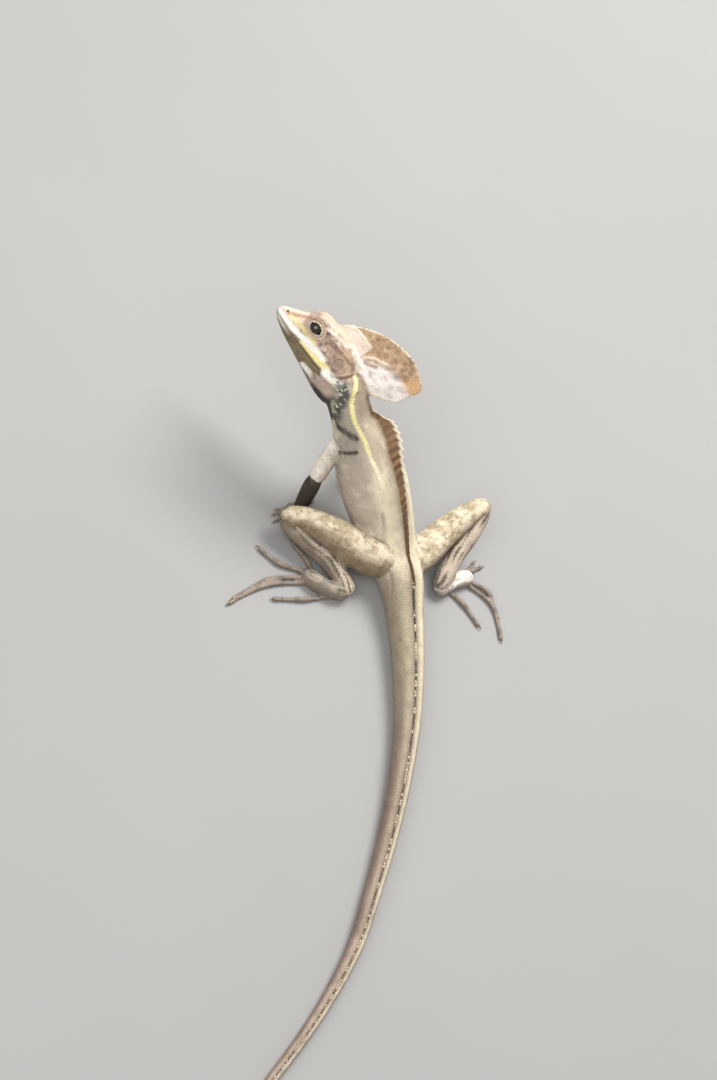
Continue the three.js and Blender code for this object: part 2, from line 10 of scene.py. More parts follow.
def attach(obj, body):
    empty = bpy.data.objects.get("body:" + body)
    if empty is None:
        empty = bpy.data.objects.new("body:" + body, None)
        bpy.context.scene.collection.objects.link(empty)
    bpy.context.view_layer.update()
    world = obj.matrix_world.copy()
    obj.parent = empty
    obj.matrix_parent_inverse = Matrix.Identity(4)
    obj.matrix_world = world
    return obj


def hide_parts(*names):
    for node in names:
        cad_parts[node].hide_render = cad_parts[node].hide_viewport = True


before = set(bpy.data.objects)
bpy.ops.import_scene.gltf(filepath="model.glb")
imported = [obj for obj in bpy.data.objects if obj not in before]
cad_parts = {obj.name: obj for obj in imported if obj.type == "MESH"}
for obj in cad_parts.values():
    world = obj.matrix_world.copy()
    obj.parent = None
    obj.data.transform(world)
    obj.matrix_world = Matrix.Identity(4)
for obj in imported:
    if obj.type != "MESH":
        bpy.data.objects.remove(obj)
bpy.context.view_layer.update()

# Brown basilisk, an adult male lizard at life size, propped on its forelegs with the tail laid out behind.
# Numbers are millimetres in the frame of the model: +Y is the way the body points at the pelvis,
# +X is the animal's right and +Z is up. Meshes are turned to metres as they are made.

MM = 0.001
UP = np.array([0.0, 0.0, 1.0])
SEED = 7
FAR = 1e9
CHUNK = 20000  # points whose nearest places are found at once
TURN_STEP, SPEED_STEP, FINE_STEP = 0.02, 0.05, 0.01  # shares of a row over which a part's direction is measured
END_ROWS, END_SLACK = 0.01, 0.1  # a part's last rows, and how far beyond them a point still lies on it
PART_MARGIN, LINE_MARGIN = 6, 8  # points further than this from a part or a line are left out

# Head, along its own axes from the tip of the snout
SNOUT = np.array([-92.9, 71.6, 64.5])
HEAD_YAW, HEAD_PITCH, HEAD_ROLL = np.radians([54.0, 10.0, 35.0])
EYE = {"back": 15.7, "up": 10.5, "out": 4.6, "radius": 3.7}
LID_LONG, LID_TALL = 2.8, 2.05
ORBIT = {"back": 18.5, "up": 11.2, "out": 4.3, "long": 8.5, "wide": 3.7, "tall": 6.9}
EAR = {"back": 34.2, "up": 9.0, "out": 10.6, "radius": 2.4}
NOSTRIL = {"back": 2.6, "up": 4.3, "radius": 0.75}
MOUTH_LINE = [(-3, 0.1), (8, -0.2), (18, 0.2), (25, 0.6), (31, 1.1), (33, 1.9)]
SNOUT_MIDDLE, MIDDLE_CLIMB, MIDDLE_RUN, MIDDLE_POWER = 1.2, 3.0, 20.0, 0.7  # the skull's middle line
SKULL_SQUARE = 0.82

# Skin
SKIN_INSET = 0.22  # the skin lies this far inside the full form, and the scales make it up
VOXEL = 0.42
SKIN_FACES = 180000
BODY_MESH, LIMB_MESH = (6, 48), (5, 20)  # steps between rows, and sides
CASQUE_MESH, BROW_MESH = (90, 24), (28, 17)
JOIN_BLEND, HIP_BLEND = 2.8, 6.0  # how far from the next part the surface is smoothed
JOIN_ROUNDS, HIP_ROUNDS, BROW_ROUNDS = 36, 40, 22
FLOOR_GAP = 0.05  # nothing lies lower than this
SKIN_SHADE = 0.88  # the skin is this share of the scales' colour, because it lies in their shade

# Coat
SCALE_RIM, SCALE_WIDE = 0.62, 1.06  # half the length of a scale's rim, and its width for a length of 1
PATCH = 0.003  # side of each scale's patch on the map of the coat
TAIL_PITCH, TAIL_GROWTH = np.array([0.95, 0.72]), np.array([0.45, 0.48])  # scale at the tip, and what the root adds
PITCH = {"body": (0.98, 0.92), "digit": (0.95, 0.8), "palm": (0.85, 0.8)}  # length and width of a scale
LIMB_PITCH = (0.98, 0.88)
ROW_OVERLAP = 0.9
ROW_ROOM, DART_ROOM = 0.55, 0.84  # share of its width that a scale keeps free round it
SKIN_REACH = 0.8  # rows of scales are laid on skin no further off than this
DARTS_HEAD, DARTS_BODY = 18, 10  # tries for each square millimetre
JOIN_REACH = 1.0  # rows of scales stop this far from the next part, and smaller scales fill the join
FLOOR_CLEAR = 0.7  # scales whose root is lower than this would reach the floor

# Body line: tail (place on the floor and mean radius), trunk (place, roll, half, rise, drop), skull
TAIL_WIDE, TAIL_TALL, PRESS = 0.94, 1.1, 0.15
TAIL_LINE = [
    (-151, -329, 0.45), (-128, -334, 0.95), (-103, -323, 1.45), (-78, -300, 2.0), (-55.8, -269.1, 2.7),
    (-34, -234.5, 3.15), (-17, -200, 3.75), (-7.4, -169, 4.2), (0.6, -138, 4.8), (6.4, -108, 5.5),
    (9.6, -78, 6.4), (9.3, -50, 7.5), (7.1, -27, 8.6), (4.3, -13, 10.2),
]
TRUNK_LINE = [
    (0, 0, 13, 8, 12.3, 9.2, 13.6),
    (-9.6, 12.3, 20.2, 9, 15, 12.2, 15.5),
    (-21.8, 23.5, 31.7, 11, 16, 13.6, 18),
    (-34.5, 34, 44, 14, 13.2, 10.9, 15.5),
    (-44, 39.8, 52, 20, 10.6, 7.6, 12),
    (-52.6, 46, 59.5, 28, 9.8, 7.9, 12.3),
]
SKULL_LINE = [
    (41, -8.6, 13.4, 10.3), (35, -8, 16.4, 10.7), (29, -7, 18, 10), (23.5, -6.2, 18.9, 8.8),
    (18, -5.5, 17.5, 7.4), (13, -4.9, 13.6, 6.1), (8.5, -4, 9.7, 4.9), (4.5, -3, 6.9, 3.9),
    (1.5, -1.8, 5, 2.8), (-0.6, -0.4, 2.8, 1.2),
]
CASQUE_EDGE = [
    (19.5, 16), (23.6, 22.5), (32.7, 29.9), (39.1, 33.5), (46, 35.4), (52.5, 36.3), (58, 35.6),
    (63.3, 33.4), (67.6, 31), (66.1, 23.8), (65.2, 18.6), (61.4, 15.1), (57, 13.1), (52.5, 9.2),
]
CASQUE_FIT = 0.979  # share of the blade's height that the skin takes, so that its scales end at the edge
CASQUE_RIM_HALF, CASQUE_ROOT_HALF, CASQUE_TAPER = 0.4, 5.4, 1.8  # half thickness, from edge to root
CASQUE_ROOT = [(22, 12.5), (33, 12.5), (43, 10), (47, 6), (46, 2)]

# Legs: place and radius, from the root to the end
LIMBS = {
    "thigh_left": [(-8, -3, 13, 9.5), (-18.6, -4.2, 13.2, 9), (-29.7, -0.8, 14.2, 8.6), (-42, 2, 14.6, 7),
                   (-51, 3.6, 14, 5.6), (-56.6, 3, 12.8, 4.6)],
    "shin_left": [(-55.5, 2.2, 10.4, 4.3), (-49.2, -0.6, 9.4, 4.9), (-40.2, -4.8, 8.3, 4.9),
                  (-31.4, -9.6, 7.1, 4.7), (-24.1, -16.4, 5.8, 4.3), (-21.1, -20.8, 5, 4.2)],
    "thigh_right": [(7, 0, 12.5, 8.6), (16.8, 9.8, 13.6, 8), (22.1, 16.3, 15.6, 7.3), (30, 24.7, 18.6, 6.3),
                    (37.1, 31.6, 21, 5.2), (42, 34.9, 22, 4.4)],
    "shin_right": [(42.6, 33.5, 20, 4.2), (38.1, 22.1, 15, 4.9), (33.2, 11.7, 10.5, 4.5), (28.4, -2.6, 5.6, 4.2)],
    "upper_arm_left": [(-41, 36.5, 41, 4.6), (-43.9, 33.1, 38, 4.6), (-46.1, 28.2, 32, 4.3), (-48.6, 20.8, 25, 4.1)],
    "forearm_left": [(-49.1, 18.9, 23, 3.8), (-47.6, 17.3, 14.5, 3.9), (-46, 15.4, 5, 3)],
    "upper_arm_right": [(-31, 39, 39, 4.6), (-27, 42, 36.5, 4.6), (-21.5, 45, 30, 4.3), (-16.5, 47.5, 24, 4.1)],
    "forearm_right": [(-15.8, 48, 22.4, 3.8), (-14.6, 51, 14, 3.9), (-14, 53.6, 5, 3)],
}
PAWS = {
    "foot_left": {
        "palm": [(-22, -21.4, 4, 4), (-31, -21.5, 3.4, 4.2), (-40, -18, 2.6, 4.3)],
        "digits": [[(-34, -17), (-40.5, -8.5), (-47.1, -2.1)], [(-40, -15), (-54.2, -14.9), (-64.1, -10.1)],
                   [(-41, -18), (-59.6, -24.8), (-77.2, -39.8)], [(-40, -20.5), (-60.4, -27.8), (-79.1, -42.8)],
                   [(-27, -23.5), (-41, -29.4), (-56.1, -33.7)]],
        "radius": 1.5,
    },
    "foot_right": {
        "palm": [(29, -3.6, 4.2, 4.1), (36.5, 3, 3.4, 4), (44, 7.4, 2.6, 4)],
        "digits": [[(41, 8), (46, 13), (49.3, 17.8)], [(44, 8.4), (48.6, 13.6), (53, 16.6)],
                   [(45, 7), (56.5, 4.5), (61.8, -7)], [(45, 5), (58.4, -1.4), (63.5, -17.9)],
                   [(34, -1.4), (42, -5.2), (51.1, -14.7)]],
        "radius": 1.45,
    },
    "hand_left": {
        "palm": [(-46, 15.6, 3.4, 3.2), (-49.5, 14.8, 2.4, 3.4)],
        "digits": [[(-46.5, 17), (-41.5, 20.6), (-37.3, 23.6)], [(-49, 16), (-51.8, 15.2), (-54.6, 14)],
                   [(-50, 15), (-53.2, 13), (-56.2, 11)], [(-50, 14), (-53, 10.4), (-55.8, 7.6)],
                   [(-48, 13), (-49.6, 9), (-50.6, 5.4)]],
        "radius": 1.15,
    },
    "hand_right": {
        "palm": [(-14, 53.6, 3.4, 3.2), (-12.8, 56.2, 2.4, 3.4)],
        "digits": [[(-14.5, 57.5), (-17.6, 60.6), (-19.4, 62.8)], [(-13.5, 58), (-14.8, 63.4), (-15.2, 67.4)],
                   [(-12.5, 58), (-11, 64.4), (-9.8, 68.8)], [(-11.5, 57.5), (-7.6, 62.4), (-4.8, 65.8)],
                   [(-11, 56), (-6.4, 57.8), (-2.6, 58.8)]],
        "radius": 1.15,
    },
}
DIGIT_SWELL = [1.0, 0.76, 0.97, 0.73, 0.8]
TOE_LOW = 0.75  # least height of a toe's middle line, for a radius of 1
STUB_REACH, STUB_SIZE = 0.7, 0.45  # rounded end of a limb, for a radius of 1
CLAW_LONG = 2.9

# Crest of the back
CREST_RAYS = 26
RAY_COLUMNS, CREST_LEVELS = 12, 14  # columns for each ray, and levels from foot to edge
CREST_TALL, CREST_SUNK, CREST_LEAN = 8, 1.3, 0.35
RAY_SLANT = 1.7  # how many rays' widths each ray leans to the head from its foot to the edge

# Colours, sRGB
TONES = {
    "back": "#bdaf9a", "flank": "#b5a899", "belly": "#c8bba8", "shoulder": "#a1988a", "crease_shade": "#3b372f",
    "stripe": "#eee3a0", "stripe_pale": "#efe6c8", "throat": "#24211c", "throat_pale": "#a9aa8f",
    "neck_dark": "#504e46", "neck_fleck": "#dcdccf", "flank_pink": "#b09a8e",
    "tail_root": "#988c77", "tail_middle": "#857065", "tail_end": "#8f7a6f", "tail_dark": "#5c4f3e",
    "thigh": "#d8cab2", "thigh_dark": "#574f39", "thigh_ochre": "#9a8763", "thigh_shade": "#735f45",
    "shin": "#b8ab99", "shin_pink": "#c9b4a4", "shin_dark": "#453f36", "shin_shade": "#7d6f60",
    "foot_pale": "#f4eee6",
    "foot": "#847b71", "toe": "#94867a", "toe_dark": "#5f564c",
    "upper_arm": "#eee4d8", "forearm": "#3b342b", "forearm_pale": "#a19279",
    "crown": "#dac7b1", "snout": "#ead8c6", "canthus": "#b98559", "cheek": "#a88f7f", "cheek_dark": "#625049",
    "fleck": "#cdbba8", "lid": "#dac0ab", "lid_rim": "#d8c8b2", "lip": "#fbf7ee", "lip_yellow": "#eee09a",
    "jaw": "#7f7457", "jaw_dark": "#665838", "jaw_pale": "#efe9df", "jaw_pink": "#b9a79c", "ridge": "#f0e4d3",
    "ear": "#96816f", "nape": "#a08f7d", "tan": "#b79d80",
    "casque": "#bf9f7f", "casque_dark": "#80634b", "casque_pale": "#dcc3a3", "casque_base": "#e2d0c1",
    "casque_lobe": "#f1e6df", "casque_lobe_dark": "#a39790", "casque_rim": "#eadcc4", "casque_tip": "#d3a77c",
    "casque_red": "#8d5f4b",
    "eye": "#15120f", "iris_edge": "#241b13", "iris": "#4d3a22", "pupil": "#040506",
    "horn": "#a8967f", "horn_dark": "#6b5848", "horn_tip": "#9c8a72",
    "crest": "#7d6047", "crest_dark": "#5c402c", "crest_ray": "#ac8859", "crest_edge": "#e6dac2",
}


def linear(text):
    """An sRGB hex colour as linear red, green and blue."""
    parts = np.array([int(text[k:k + 2], 16) / 255 for k in (1, 3, 5)])
    return np.where(parts <= 0.04045, parts / 12.92, ((parts + 0.055) / 1.055) ** 2.4)


TONE = {name: linear(text) for name, text in TONES.items()}


# Shape of the body line and the limbs

def unit(v):
    return v / np.maximum(np.linalg.norm(v, axis=-1, keepdims=True), 1e-12)


def smooth(low, high, value):
    """0 below low, 1 above high and an S curve between them."""
    t = np.clip((value - low) / (high - low), 0, 1)
    return t * t * (3 - 2 * t)


def fade(low, high, value):
    """1 below low, 0 above high and the same S curve between them."""
    return 1 - smooth(low, high, value)


def bell(value, middle, width):
    """1 at the middle, and less to both sides of it, down to a third at the width."""
    return np.exp(-(((value - middle) / width) ** 2))


def height_of(line, place):
    """Height of a line of place and height pairs, straight between them."""
    return np.interp(place, *np.array(line).T)


def blend(rows, u):
    """Catmull-Rom between rows, so that every number of a section changes smoothly."""
    rows = np.asarray(rows, float)
    u = np.atleast_1d(np.asarray(u, float))
    i = np.clip(np.floor(u).astype(int), 0, len(rows) - 2)
    f = (u - i)[:, None]
    a, b, c, d = (rows[np.clip(i + k, 0, len(rows) - 1)] for k in (-1, 0, 1, 2))
    return b + 0.5 * f * (c - a + f * (2 * a - 5 * b + 4 * c - d + f * (3 * (b - c) + d - a)))


def stretch(rows, u, step):
    """The way along a part from one step before the places u to one step after them."""
    return blend(rows, np.minimum(len(rows) - 1, u + step))[:, :3] - blend(rows, np.maximum(0, u - step))[:, :3]


def speed_of(rows, u, step):
    """Millimetres travelled along a part for each row."""
    return np.linalg.norm(stretch(rows, u, step), axis=1) / (2 * step)


def frames(rows, u):
    """Sections at the places u, with their forward, right and up directions."""
    u = np.atleast_1d(np.asarray(u, float))
    section = blend(rows, u)
    forward = unit(stretch(rows, u, TURN_STEP))
    level = unit(np.cross(forward, UP))
    steep = np.cross(level, forward)
    roll = np.radians(section[:, 3])[:, None]
    right = level * np.cos(roll) - steep * np.sin(roll)
    up = steep * np.cos(roll) + level * np.sin(roll)
    return section, forward, right, up


def on_loft(rows, u, angle, grow=0.0):
    """Points on a loft; the angle is 0 on the right and a quarter turn on top."""
    section, _, right, up = frames(rows, u)
    cosine, sine = np.cos(angle), np.sin(angle)
    tall = np.where(sine > 0, section[:, 5], section[:, 6])
    across = (section[:, 4] + grow) * np.sign(cosine) * np.abs(cosine) ** section[:, 7]
    high = (tall + grow) * np.sign(sine) * np.abs(sine) ** section[:, 7]
    return section[:, :3] + right * across[:, None] + up * high[:, None]


def round_rows(points):
    """Rows of a round limb with rounded ends."""
    rows = [(x, y, z, 0, r, r, r, 1) for x, y, z, r in points]

    def stub(end, inner):
        place, radius = np.array(rows[end][:3], float), rows[end][4]
        place = place + unit(place - np.array(rows[inner][:3])) * radius * STUB_REACH
        return (*place, 0, *(radius * STUB_SIZE,) * 3, 1)

    return np.array([stub(0, 1), *rows, stub(-1, -2)])


HEAD_FORWARD = np.array([-math.sin(HEAD_YAW) * math.cos(HEAD_PITCH),
                         math.cos(HEAD_YAW) * math.cos(HEAD_PITCH), math.sin(HEAD_PITCH)])
HEAD_LEVEL = unit(np.cross(HEAD_FORWARD, UP))
HEAD_UP = np.cross(HEAD_LEVEL, HEAD_FORWARD) * math.cos(HEAD_ROLL) + HEAD_LEVEL * math.sin(HEAD_ROLL)
HEAD_LEFT = np.cross(HEAD_UP, HEAD_FORWARD)
HEAD_AXES = np.array([-HEAD_FORWARD, HEAD_LEFT, HEAD_UP])


def on_head(back, left, up):
    return SNOUT + np.stack(np.broadcast_arrays(back, left, up), -1) @ HEAD_AXES


def head_place(points):
    """How far back, left and up points are on the head."""
    return ((points - SNOUT) @ HEAD_AXES.T).T


def body_rows():
    """Rows of the body line: place, roll, half width, rise, drop and squareness of every section."""
    tail = [(x, y, r * TAIL_TALL - PRESS, 0, r * TAIL_WIDE, r * TAIL_TALL, r * TAIL_TALL, 1) for x, y, r in TAIL_LINE]
    trunk = [(*row, 1) for row in TRUNK_LINE]
    skull = []
    tip = SKULL_LINE[-1][0]
    for back, under, top, half in SKULL_LINE:
        middle = SNOUT_MIDDLE + MIDDLE_CLIMB * min(1, (back - tip) / MIDDLE_RUN) ** MIDDLE_POWER
        centre = on_head(back, 0, middle)
        skull.append((*centre, math.degrees(HEAD_ROLL), half, top - middle, middle - under, SKULL_SQUARE))
    return np.array([*tail, *trunk, *skull], float)


BODY = body_rows()
PELVIS_ROW = len(TAIL_LINE)
NECK_ROW = PELVIS_ROW + 4
SKULL_ROW = PELVIS_ROW + len(TRUNK_LINE) - 1
TAIL_BASE = PELVIS_ROW - 1.4


def digit_rows(places, radius):
    """A toe on the floor, with two joints that show as swellings."""
    path = blend(places, np.linspace(0, len(places) - 1, len(DIGIT_SWELL)))
    thick = radius * np.array(DIGIT_SWELL)
    height = np.maximum(thick, radius * TOE_LOW) - PRESS
    return round_rows([(x, y, z, r) for (x, y), z, r in zip(path, height, thick)])


def every_part():
    """Rows of every tube of flesh, by name."""
    parts = {"body": BODY}
    parts.update({name: round_rows(points) for name, points in LIMBS.items()})
    for name, paw in PAWS.items():
        parts[f"{name}_palm"] = round_rows(paw["palm"])
        for k, places in enumerate(paw["digits"]):
            parts[f"{name}_digit_{k + 1}"] = digit_rows(places, paw["radius"])
    return parts


# Ridge line of the back and tail: row, and degrees round from the right
SPINE = [(0, 90), (8, 94), (11, 98), (13, 99), (14.4, 102), (15.6, 106), (17, 106), (17.6, 100), (18.2, 92), (19, 90)]


def spine_turn(u):
    """Angle round the body at which its ridge stands."""
    return np.radians(height_of(SPINE, u))


PARTS = every_part()
PART_NAMES = list(PARTS)


def named(names, word):
    """Which of some part names hold a word."""
    return np.char.find(names, word) >= 0


# Meshes from arrays

class Shell:
    """Points and faces gathered from several closed forms."""

    def __init__(self):
        self.points, self.faces, self.count = [], [], 0

    def add(self, points, faces):
        self.points.append(points)
        self.faces.extend([[k + self.count for k in face] for face in faces])
        self.count += len(points)


def tube_form(rings):
    """Closed tube through rings of equal count, an array of ring, side and xyz."""
    count, sides = rings.shape[:2]
    points = np.vstack([rings.reshape(-1, 3), rings[0].mean(0), rings[-1].mean(0)])
    start, end = count * sides, count * sides + 1
    faces = []
    for k in range(sides):
        follow = (k + 1) % sides
        for r in range(count - 1):
            faces.append([r * sides + k, r * sides + follow, (r + 1) * sides + follow, (r + 1) * sides + k])
        faces.append([start, follow, k])
        faces.append([end, (count - 1) * sides + k, (count - 1) * sides + follow])
    return points, faces


def loft_form(rows, per_span, sides, grow=0.0):
    u = np.linspace(0, len(rows) - 1, (len(rows) - 1) * per_span + 1)
    turn = np.linspace(0, 2 * np.pi, sides, endpoint=False) + np.pi / 2
    rings = on_loft(rows, np.repeat(u, sides), np.tile(turn, len(u)), grow)
    return tube_form(rings.reshape(len(u), sides, 3))


def vane_form(left, right):
    """Closed thin sheet between two faces, arrays of column, level and xyz."""
    columns, levels = left.shape[:2]
    points = np.vstack([left.reshape(-1, 3), right.reshape(-1, 3)])
    other = columns * levels
    faces = []
    for i in range(columns - 1):
        for k in range(levels - 1):
            a = i * levels + k
            faces.append([a, a + levels, a + levels + 1, a + 1])
            faces.append([a + other, a + 1 + other, a + levels + 1 + other, a + levels + other])
        low, high = i * levels, i * levels + levels - 1
        faces.append([low, low + other, low + levels + other, low + levels])
        faces.append([high, high + levels, high + levels + other, high + other])
    for k in range(levels - 1):
        last = (columns - 1) * levels + k
        faces.append([k, k + 1, k + 1 + other, k + other])
        faces.append([last, last + other, last + 1 + other, last + 1])
    return points, faces


def casque_faces(columns, levels):
    """The two sides of the casque, thick where it leaves the skull and thin at its edge."""
    t = np.linspace(0, 1, columns)
    edge = blend(CASQUE_EDGE, t * (len(CASQUE_EDGE) - 1))
    foot = blend(CASQUE_ROOT, t * (len(CASQUE_ROOT) - 1))
    level = np.linspace(0, 1, levels)[None, :, None]
    place = foot[:, None] * (1 - level * CASQUE_FIT) + edge[:, None] * level * CASQUE_FIT
    rim = CASQUE_RIM_HALF - SKIN_INSET * 0.5
    half = rim + CASQUE_ROOT_HALF * (1 - level[..., 0]) ** CASQUE_TAPER + np.zeros((columns, 1))
    return [on_head(place[..., 0], side * half, place[..., 1]) for side in (1, -1)]


def new_mesh(name, points, faces):
    mesh = bpy.data.meshes.new(name)
    mesh.from_pydata(np.asarray(points, float).tolist(), [], faces)
    mesh.validate()
    return mesh


def linked(name, mesh):
    """A new object of the mesh, in the scene."""
    thing = bpy.data.objects.new(name, mesh)
    bpy.context.scene.collection.objects.link(thing)
    return thing


def evaluated(thing):
    """The mesh with its modifiers applied, and the object removed."""
    depsgraph = bpy.context.evaluated_depsgraph_get()
    mesh = bpy.data.meshes.new_from_object(thing.evaluated_get(depsgraph))
    bpy.data.objects.remove(thing)
    return mesh


def arrays(mesh):
    points = np.empty(len(mesh.vertices) * 3)
    mesh.vertices.foreach_get("co", points)
    edges = np.empty(len(mesh.edges) * 2, int)
    mesh.edges.foreach_get("vertices", edges)
    return points.reshape(-1, 3), edges.reshape(-1, 2)


def relax(points, edges, weight, rounds):
    """Moves each point towards the middle of its neighbours by its weight."""
    a, b = edges.T
    count = np.bincount(edges.ravel(), minlength=len(points))[:, None]
    for _ in range(rounds):
        total = np.stack([np.bincount(a, points[b, k], len(points)) + np.bincount(b, points[a, k], len(points))
                          for k in range(3)], -1)
        points = points + weight[:, None] * (total / count - points)
    return points


# Where a point lies on the animal

def place_on(rows, points):
    """Nearest place along one part: its u, angle, and height above the part's surface."""
    last = len(rows) - 1
    steps = np.linspace(0, last, last * 10 + 1)
    centres = blend(rows, steps)[:, :3]
    best = np.empty(len(points), int)
    for start in range(0, len(points), CHUNK):
        chunk = points[start:start + CHUNK]
        far = (centres ** 2).sum(1)[None] - 2 * chunk @ centres.T
        best[start:start + CHUNK] = far.argmin(1)
    u = steps[best]
    for _ in range(2):
        section, forward, right, up = frames(rows, u)
        speed = np.maximum(speed_of(rows, u, SPEED_STEP), 1.0)
        u = np.clip(u + ((points - section[:, :3]) * forward).sum(1) / speed * 0.8, 0, last)
    section, forward, right, up = frames(rows, u)
    offset = points - section[:, :3]
    across, high, along = ((offset * way).sum(1) for way in (right, up, forward))
    tall = np.where(high > 0, section[:, 5], section[:, 6])
    reach = np.hypot(across / section[:, 4], high / tall)
    thick = np.hypot(across, high) / np.maximum(reach, 1e-6)
    past = np.where((u < END_ROWS) | (u > last - END_ROWS), np.maximum(0, np.abs(along) - END_SLACK), 0)
    above = (reach - 1) * thick
    above = np.where(past > 0, np.hypot(np.maximum(above, 0), past), above)
    return u, np.arctan2(high / tall, across / section[:, 4]), above


def locate(points):
    """Part, place along it, angle round it and clearance from the next part, for every point."""
    count = len(points)
    part = np.zeros(count, int)
    u, angle = np.zeros(count), np.zeros(count)
    near, second = np.full(count, FAR), np.full(count, FAR)
    for index, rows in enumerate(PARTS.values()):
        reach = rows[:, 4:7].max() + PART_MARGIN
        inside = np.all((points > rows[:, :3].min(0) - reach) & (points < rows[:, :3].max(0) + reach), 1)
        chosen = np.flatnonzero(inside)
        if not len(chosen):
            continue
        where_u, where_angle, above = place_on(rows, points[chosen])
        closer = above < near[chosen]
        second[chosen] = np.where(closer, near[chosen], np.minimum(second[chosen], above))
        near[chosen[closer]] = above[closer]
        part[chosen[closer]] = index
        u[chosen[closer]] = where_u[closer]
        angle[chosen[closer]] = where_angle[closer]
    return {"part": part, "u": u, "angle": angle, "above": near, "second": second}


def noise(points, size, seed=0):
    """Smooth random values from -1 to 1 that change over a length of size, from a hash of each cell's corners."""
    q = np.asarray(points, float) / size + seed * 17.31 + 1000.5
    i = np.floor(q).astype(np.int64)
    f = q - i
    f = f * f * (3 - 2 * f)
    total = np.zeros(len(q))
    for corner in range(8):
        bits = np.array([corner & 1, corner >> 1 & 1, corner >> 2 & 1])
        n = ((i + bits) * np.array([73856093, 19349663, 83492791])).sum(1) + seed * 7919
        n = (n ^ (n >> 13)) * 1274126177 & 0x7FFFFFFF
        n = (n ^ (n >> 16)) & 0xFFFF
        share = np.prod(np.where(bits, f, 1 - f), 1)
        total += share * (n / 32767.5 - 1)
    return total


def clouds(points, size, seed=0):
    """Noise of a size with two finer ones over it."""
    return 0.6 * noise(points, size, seed) + 0.3 * noise(points, size / 2.1, seed + 1) \
        + 0.15 * noise(points, size / 4.3, seed + 2)


def near_line(x, y, line):
    """Distance from points in a plane to a line through given points, and the share of the way along it."""
    line = np.asarray(line, float)
    lengths = np.linalg.norm(np.diff(line, axis=0), axis=1)
    starts = np.concatenate([[0], np.cumsum(lengths)])
    best, along = np.full(len(x), FAR), np.zeros(len(x))
    here = np.stack([x, y], -1)
    for a, b, length, start in zip(line[:-1], line[1:], lengths, starts):
        t = np.clip(((here - a) @ (b - a)) / length ** 2, 0, 1)
        far = np.linalg.norm(here - a - t[:, None] * (b - a), axis=1)
        closer = far < best
        best = np.where(closer, far, best)
        along = np.where(closer, (start + t * length) / starts[-1], along)
    return best, along


# Skin

def skin_blank():
    """All tubes of flesh, the casque and the brows, joined into one surface by remeshing."""
    shell = Shell()
    for name, rows in PARTS.items():
        shell.add(*loft_form(rows, *(BODY_MESH if name == "body" else LIMB_MESH), -SKIN_INSET))
    shell.add(*vane_form(*casque_faces(*CASQUE_MESH)))
    sides, rings = BROW_MESH
    turn, lift = np.meshgrid(np.linspace(0, 2 * np.pi, sides, endpoint=False), np.linspace(-1.45, 1.45, rings))
    ball = np.stack([np.cos(lift) * np.cos(turn), np.cos(lift) * np.sin(turn), np.sin(lift)], -1)
    for side in (1, -1):
        size = np.array([ORBIT["long"], ORBIT["wide"], ORBIT["tall"]]) - SKIN_INSET
        x, y, z = np.moveaxis(ball * size, -1, 0)
        shell.add(*tube_form(on_head(ORBIT["back"] + x, side * ORBIT["out"] + y, ORBIT["up"] + z)))
    blank = linked("blank", new_mesh("blank", np.vstack(shell.points), shell.faces))
    remesh = blank.modifiers.new("one_surface", "REMESH")
    remesh.mode = "VOXEL"
    remesh.voxel_size = VOXEL
    return evaluated(blank)


def thinned(mesh, points, keep_fine):
    """Fewer faces where the form is plain; keep_fine is 1 where none may go."""
    mesh.vertices.foreach_set("co", points.ravel())
    thing = linked("thinned", mesh)
    group = thing.vertex_groups.new(name="plain")
    steps = 10
    for level in range(steps + 1):
        chosen = np.flatnonzero(np.round((1 - keep_fine) * steps) == level)
        if len(chosen):
            group.add(chosen.tolist(), level / steps, "REPLACE")
    faces = sum(len(face.vertices) - 2 for face in mesh.polygons)
    decimate = thing.modifiers.new("fewer_faces", "DECIMATE")
    decimate.ratio = min(1.0, SKIN_FACES / faces)
    decimate.vertex_group = "plain"
    decimate.vertex_group_factor = 1.0
    return evaluated(thing)


def normals_of(mesh):
    values = np.empty(len(mesh.vertices) * 3)
    mesh.vertex_normals.foreach_get("vector", values)
    return values.reshape(-1, 3)


# Raised and sunk lines of the head: line of back and up, height, width
HEAD_RELIEF = [
    ([(2.2, 4.6), (5.7, 7.0), (9, 9.8), (12, 13.0), (15.8, 15.2), (20, 15.4), (22.5, 14.8)], 0.4, 0.8),
    ([(4, 4.0), (7, 5.8), (10, 7.8)], -0.35, 1.0),
    ([(19, 14.4), (22, 15.2), (25.9, 16.4), (30.5, 16.9), (33, 18.6)], 0.7, 0.8),
    ([(34.6, 17.6), (38.7, 16.2), (42.9, 15.7)], 1.0, 1.0),
    ([(39.4, 19.5), (42.7, 22.7), (45.8, 24.2), (49.2, 26.1)], 0.5, 0.8),
    ([(33.5, 14.6), (36, 13.4), (38.8, 12.6)], 0.3, 1.2),
    ([(37.6, 4.6), (39.2, 6.8), (41.1, 10.4), (43.2, 13.6)], 0.7, 0.8),
    ([(38.8, 4.2), (40.6, 6.6), (42.6, 10.2), (44.4, 12.6)], -0.35, 0.9),
    ([(44.4, 12.4), (46.4, 9.8), (49.8, 5.4)], 0.35, 1.1),
    ([(10.8, 9.4), (12.6, 7.2), (15.8, 6.2), (19.4, 7.6), (21, 10.2)], -0.3, 0.55),
    ([(20.5, 12.2), (24, 11.6), (28, 11.4)], -0.25, 0.8),
    ([(24, 7.4), (28, 7.6), (31, 8.6)], 0.3, 0.9),
    ([(26, -2.2), (31, -1.6), (36, -0.6), (40, 0.8)], -0.4, 0.7),
    ([(29, -4.8), (34, -4.4), (40, -3.6)], -0.35, 0.7),
]
LIP_RELIEF = 0.32
MOUTH_DEPTH = 0.6
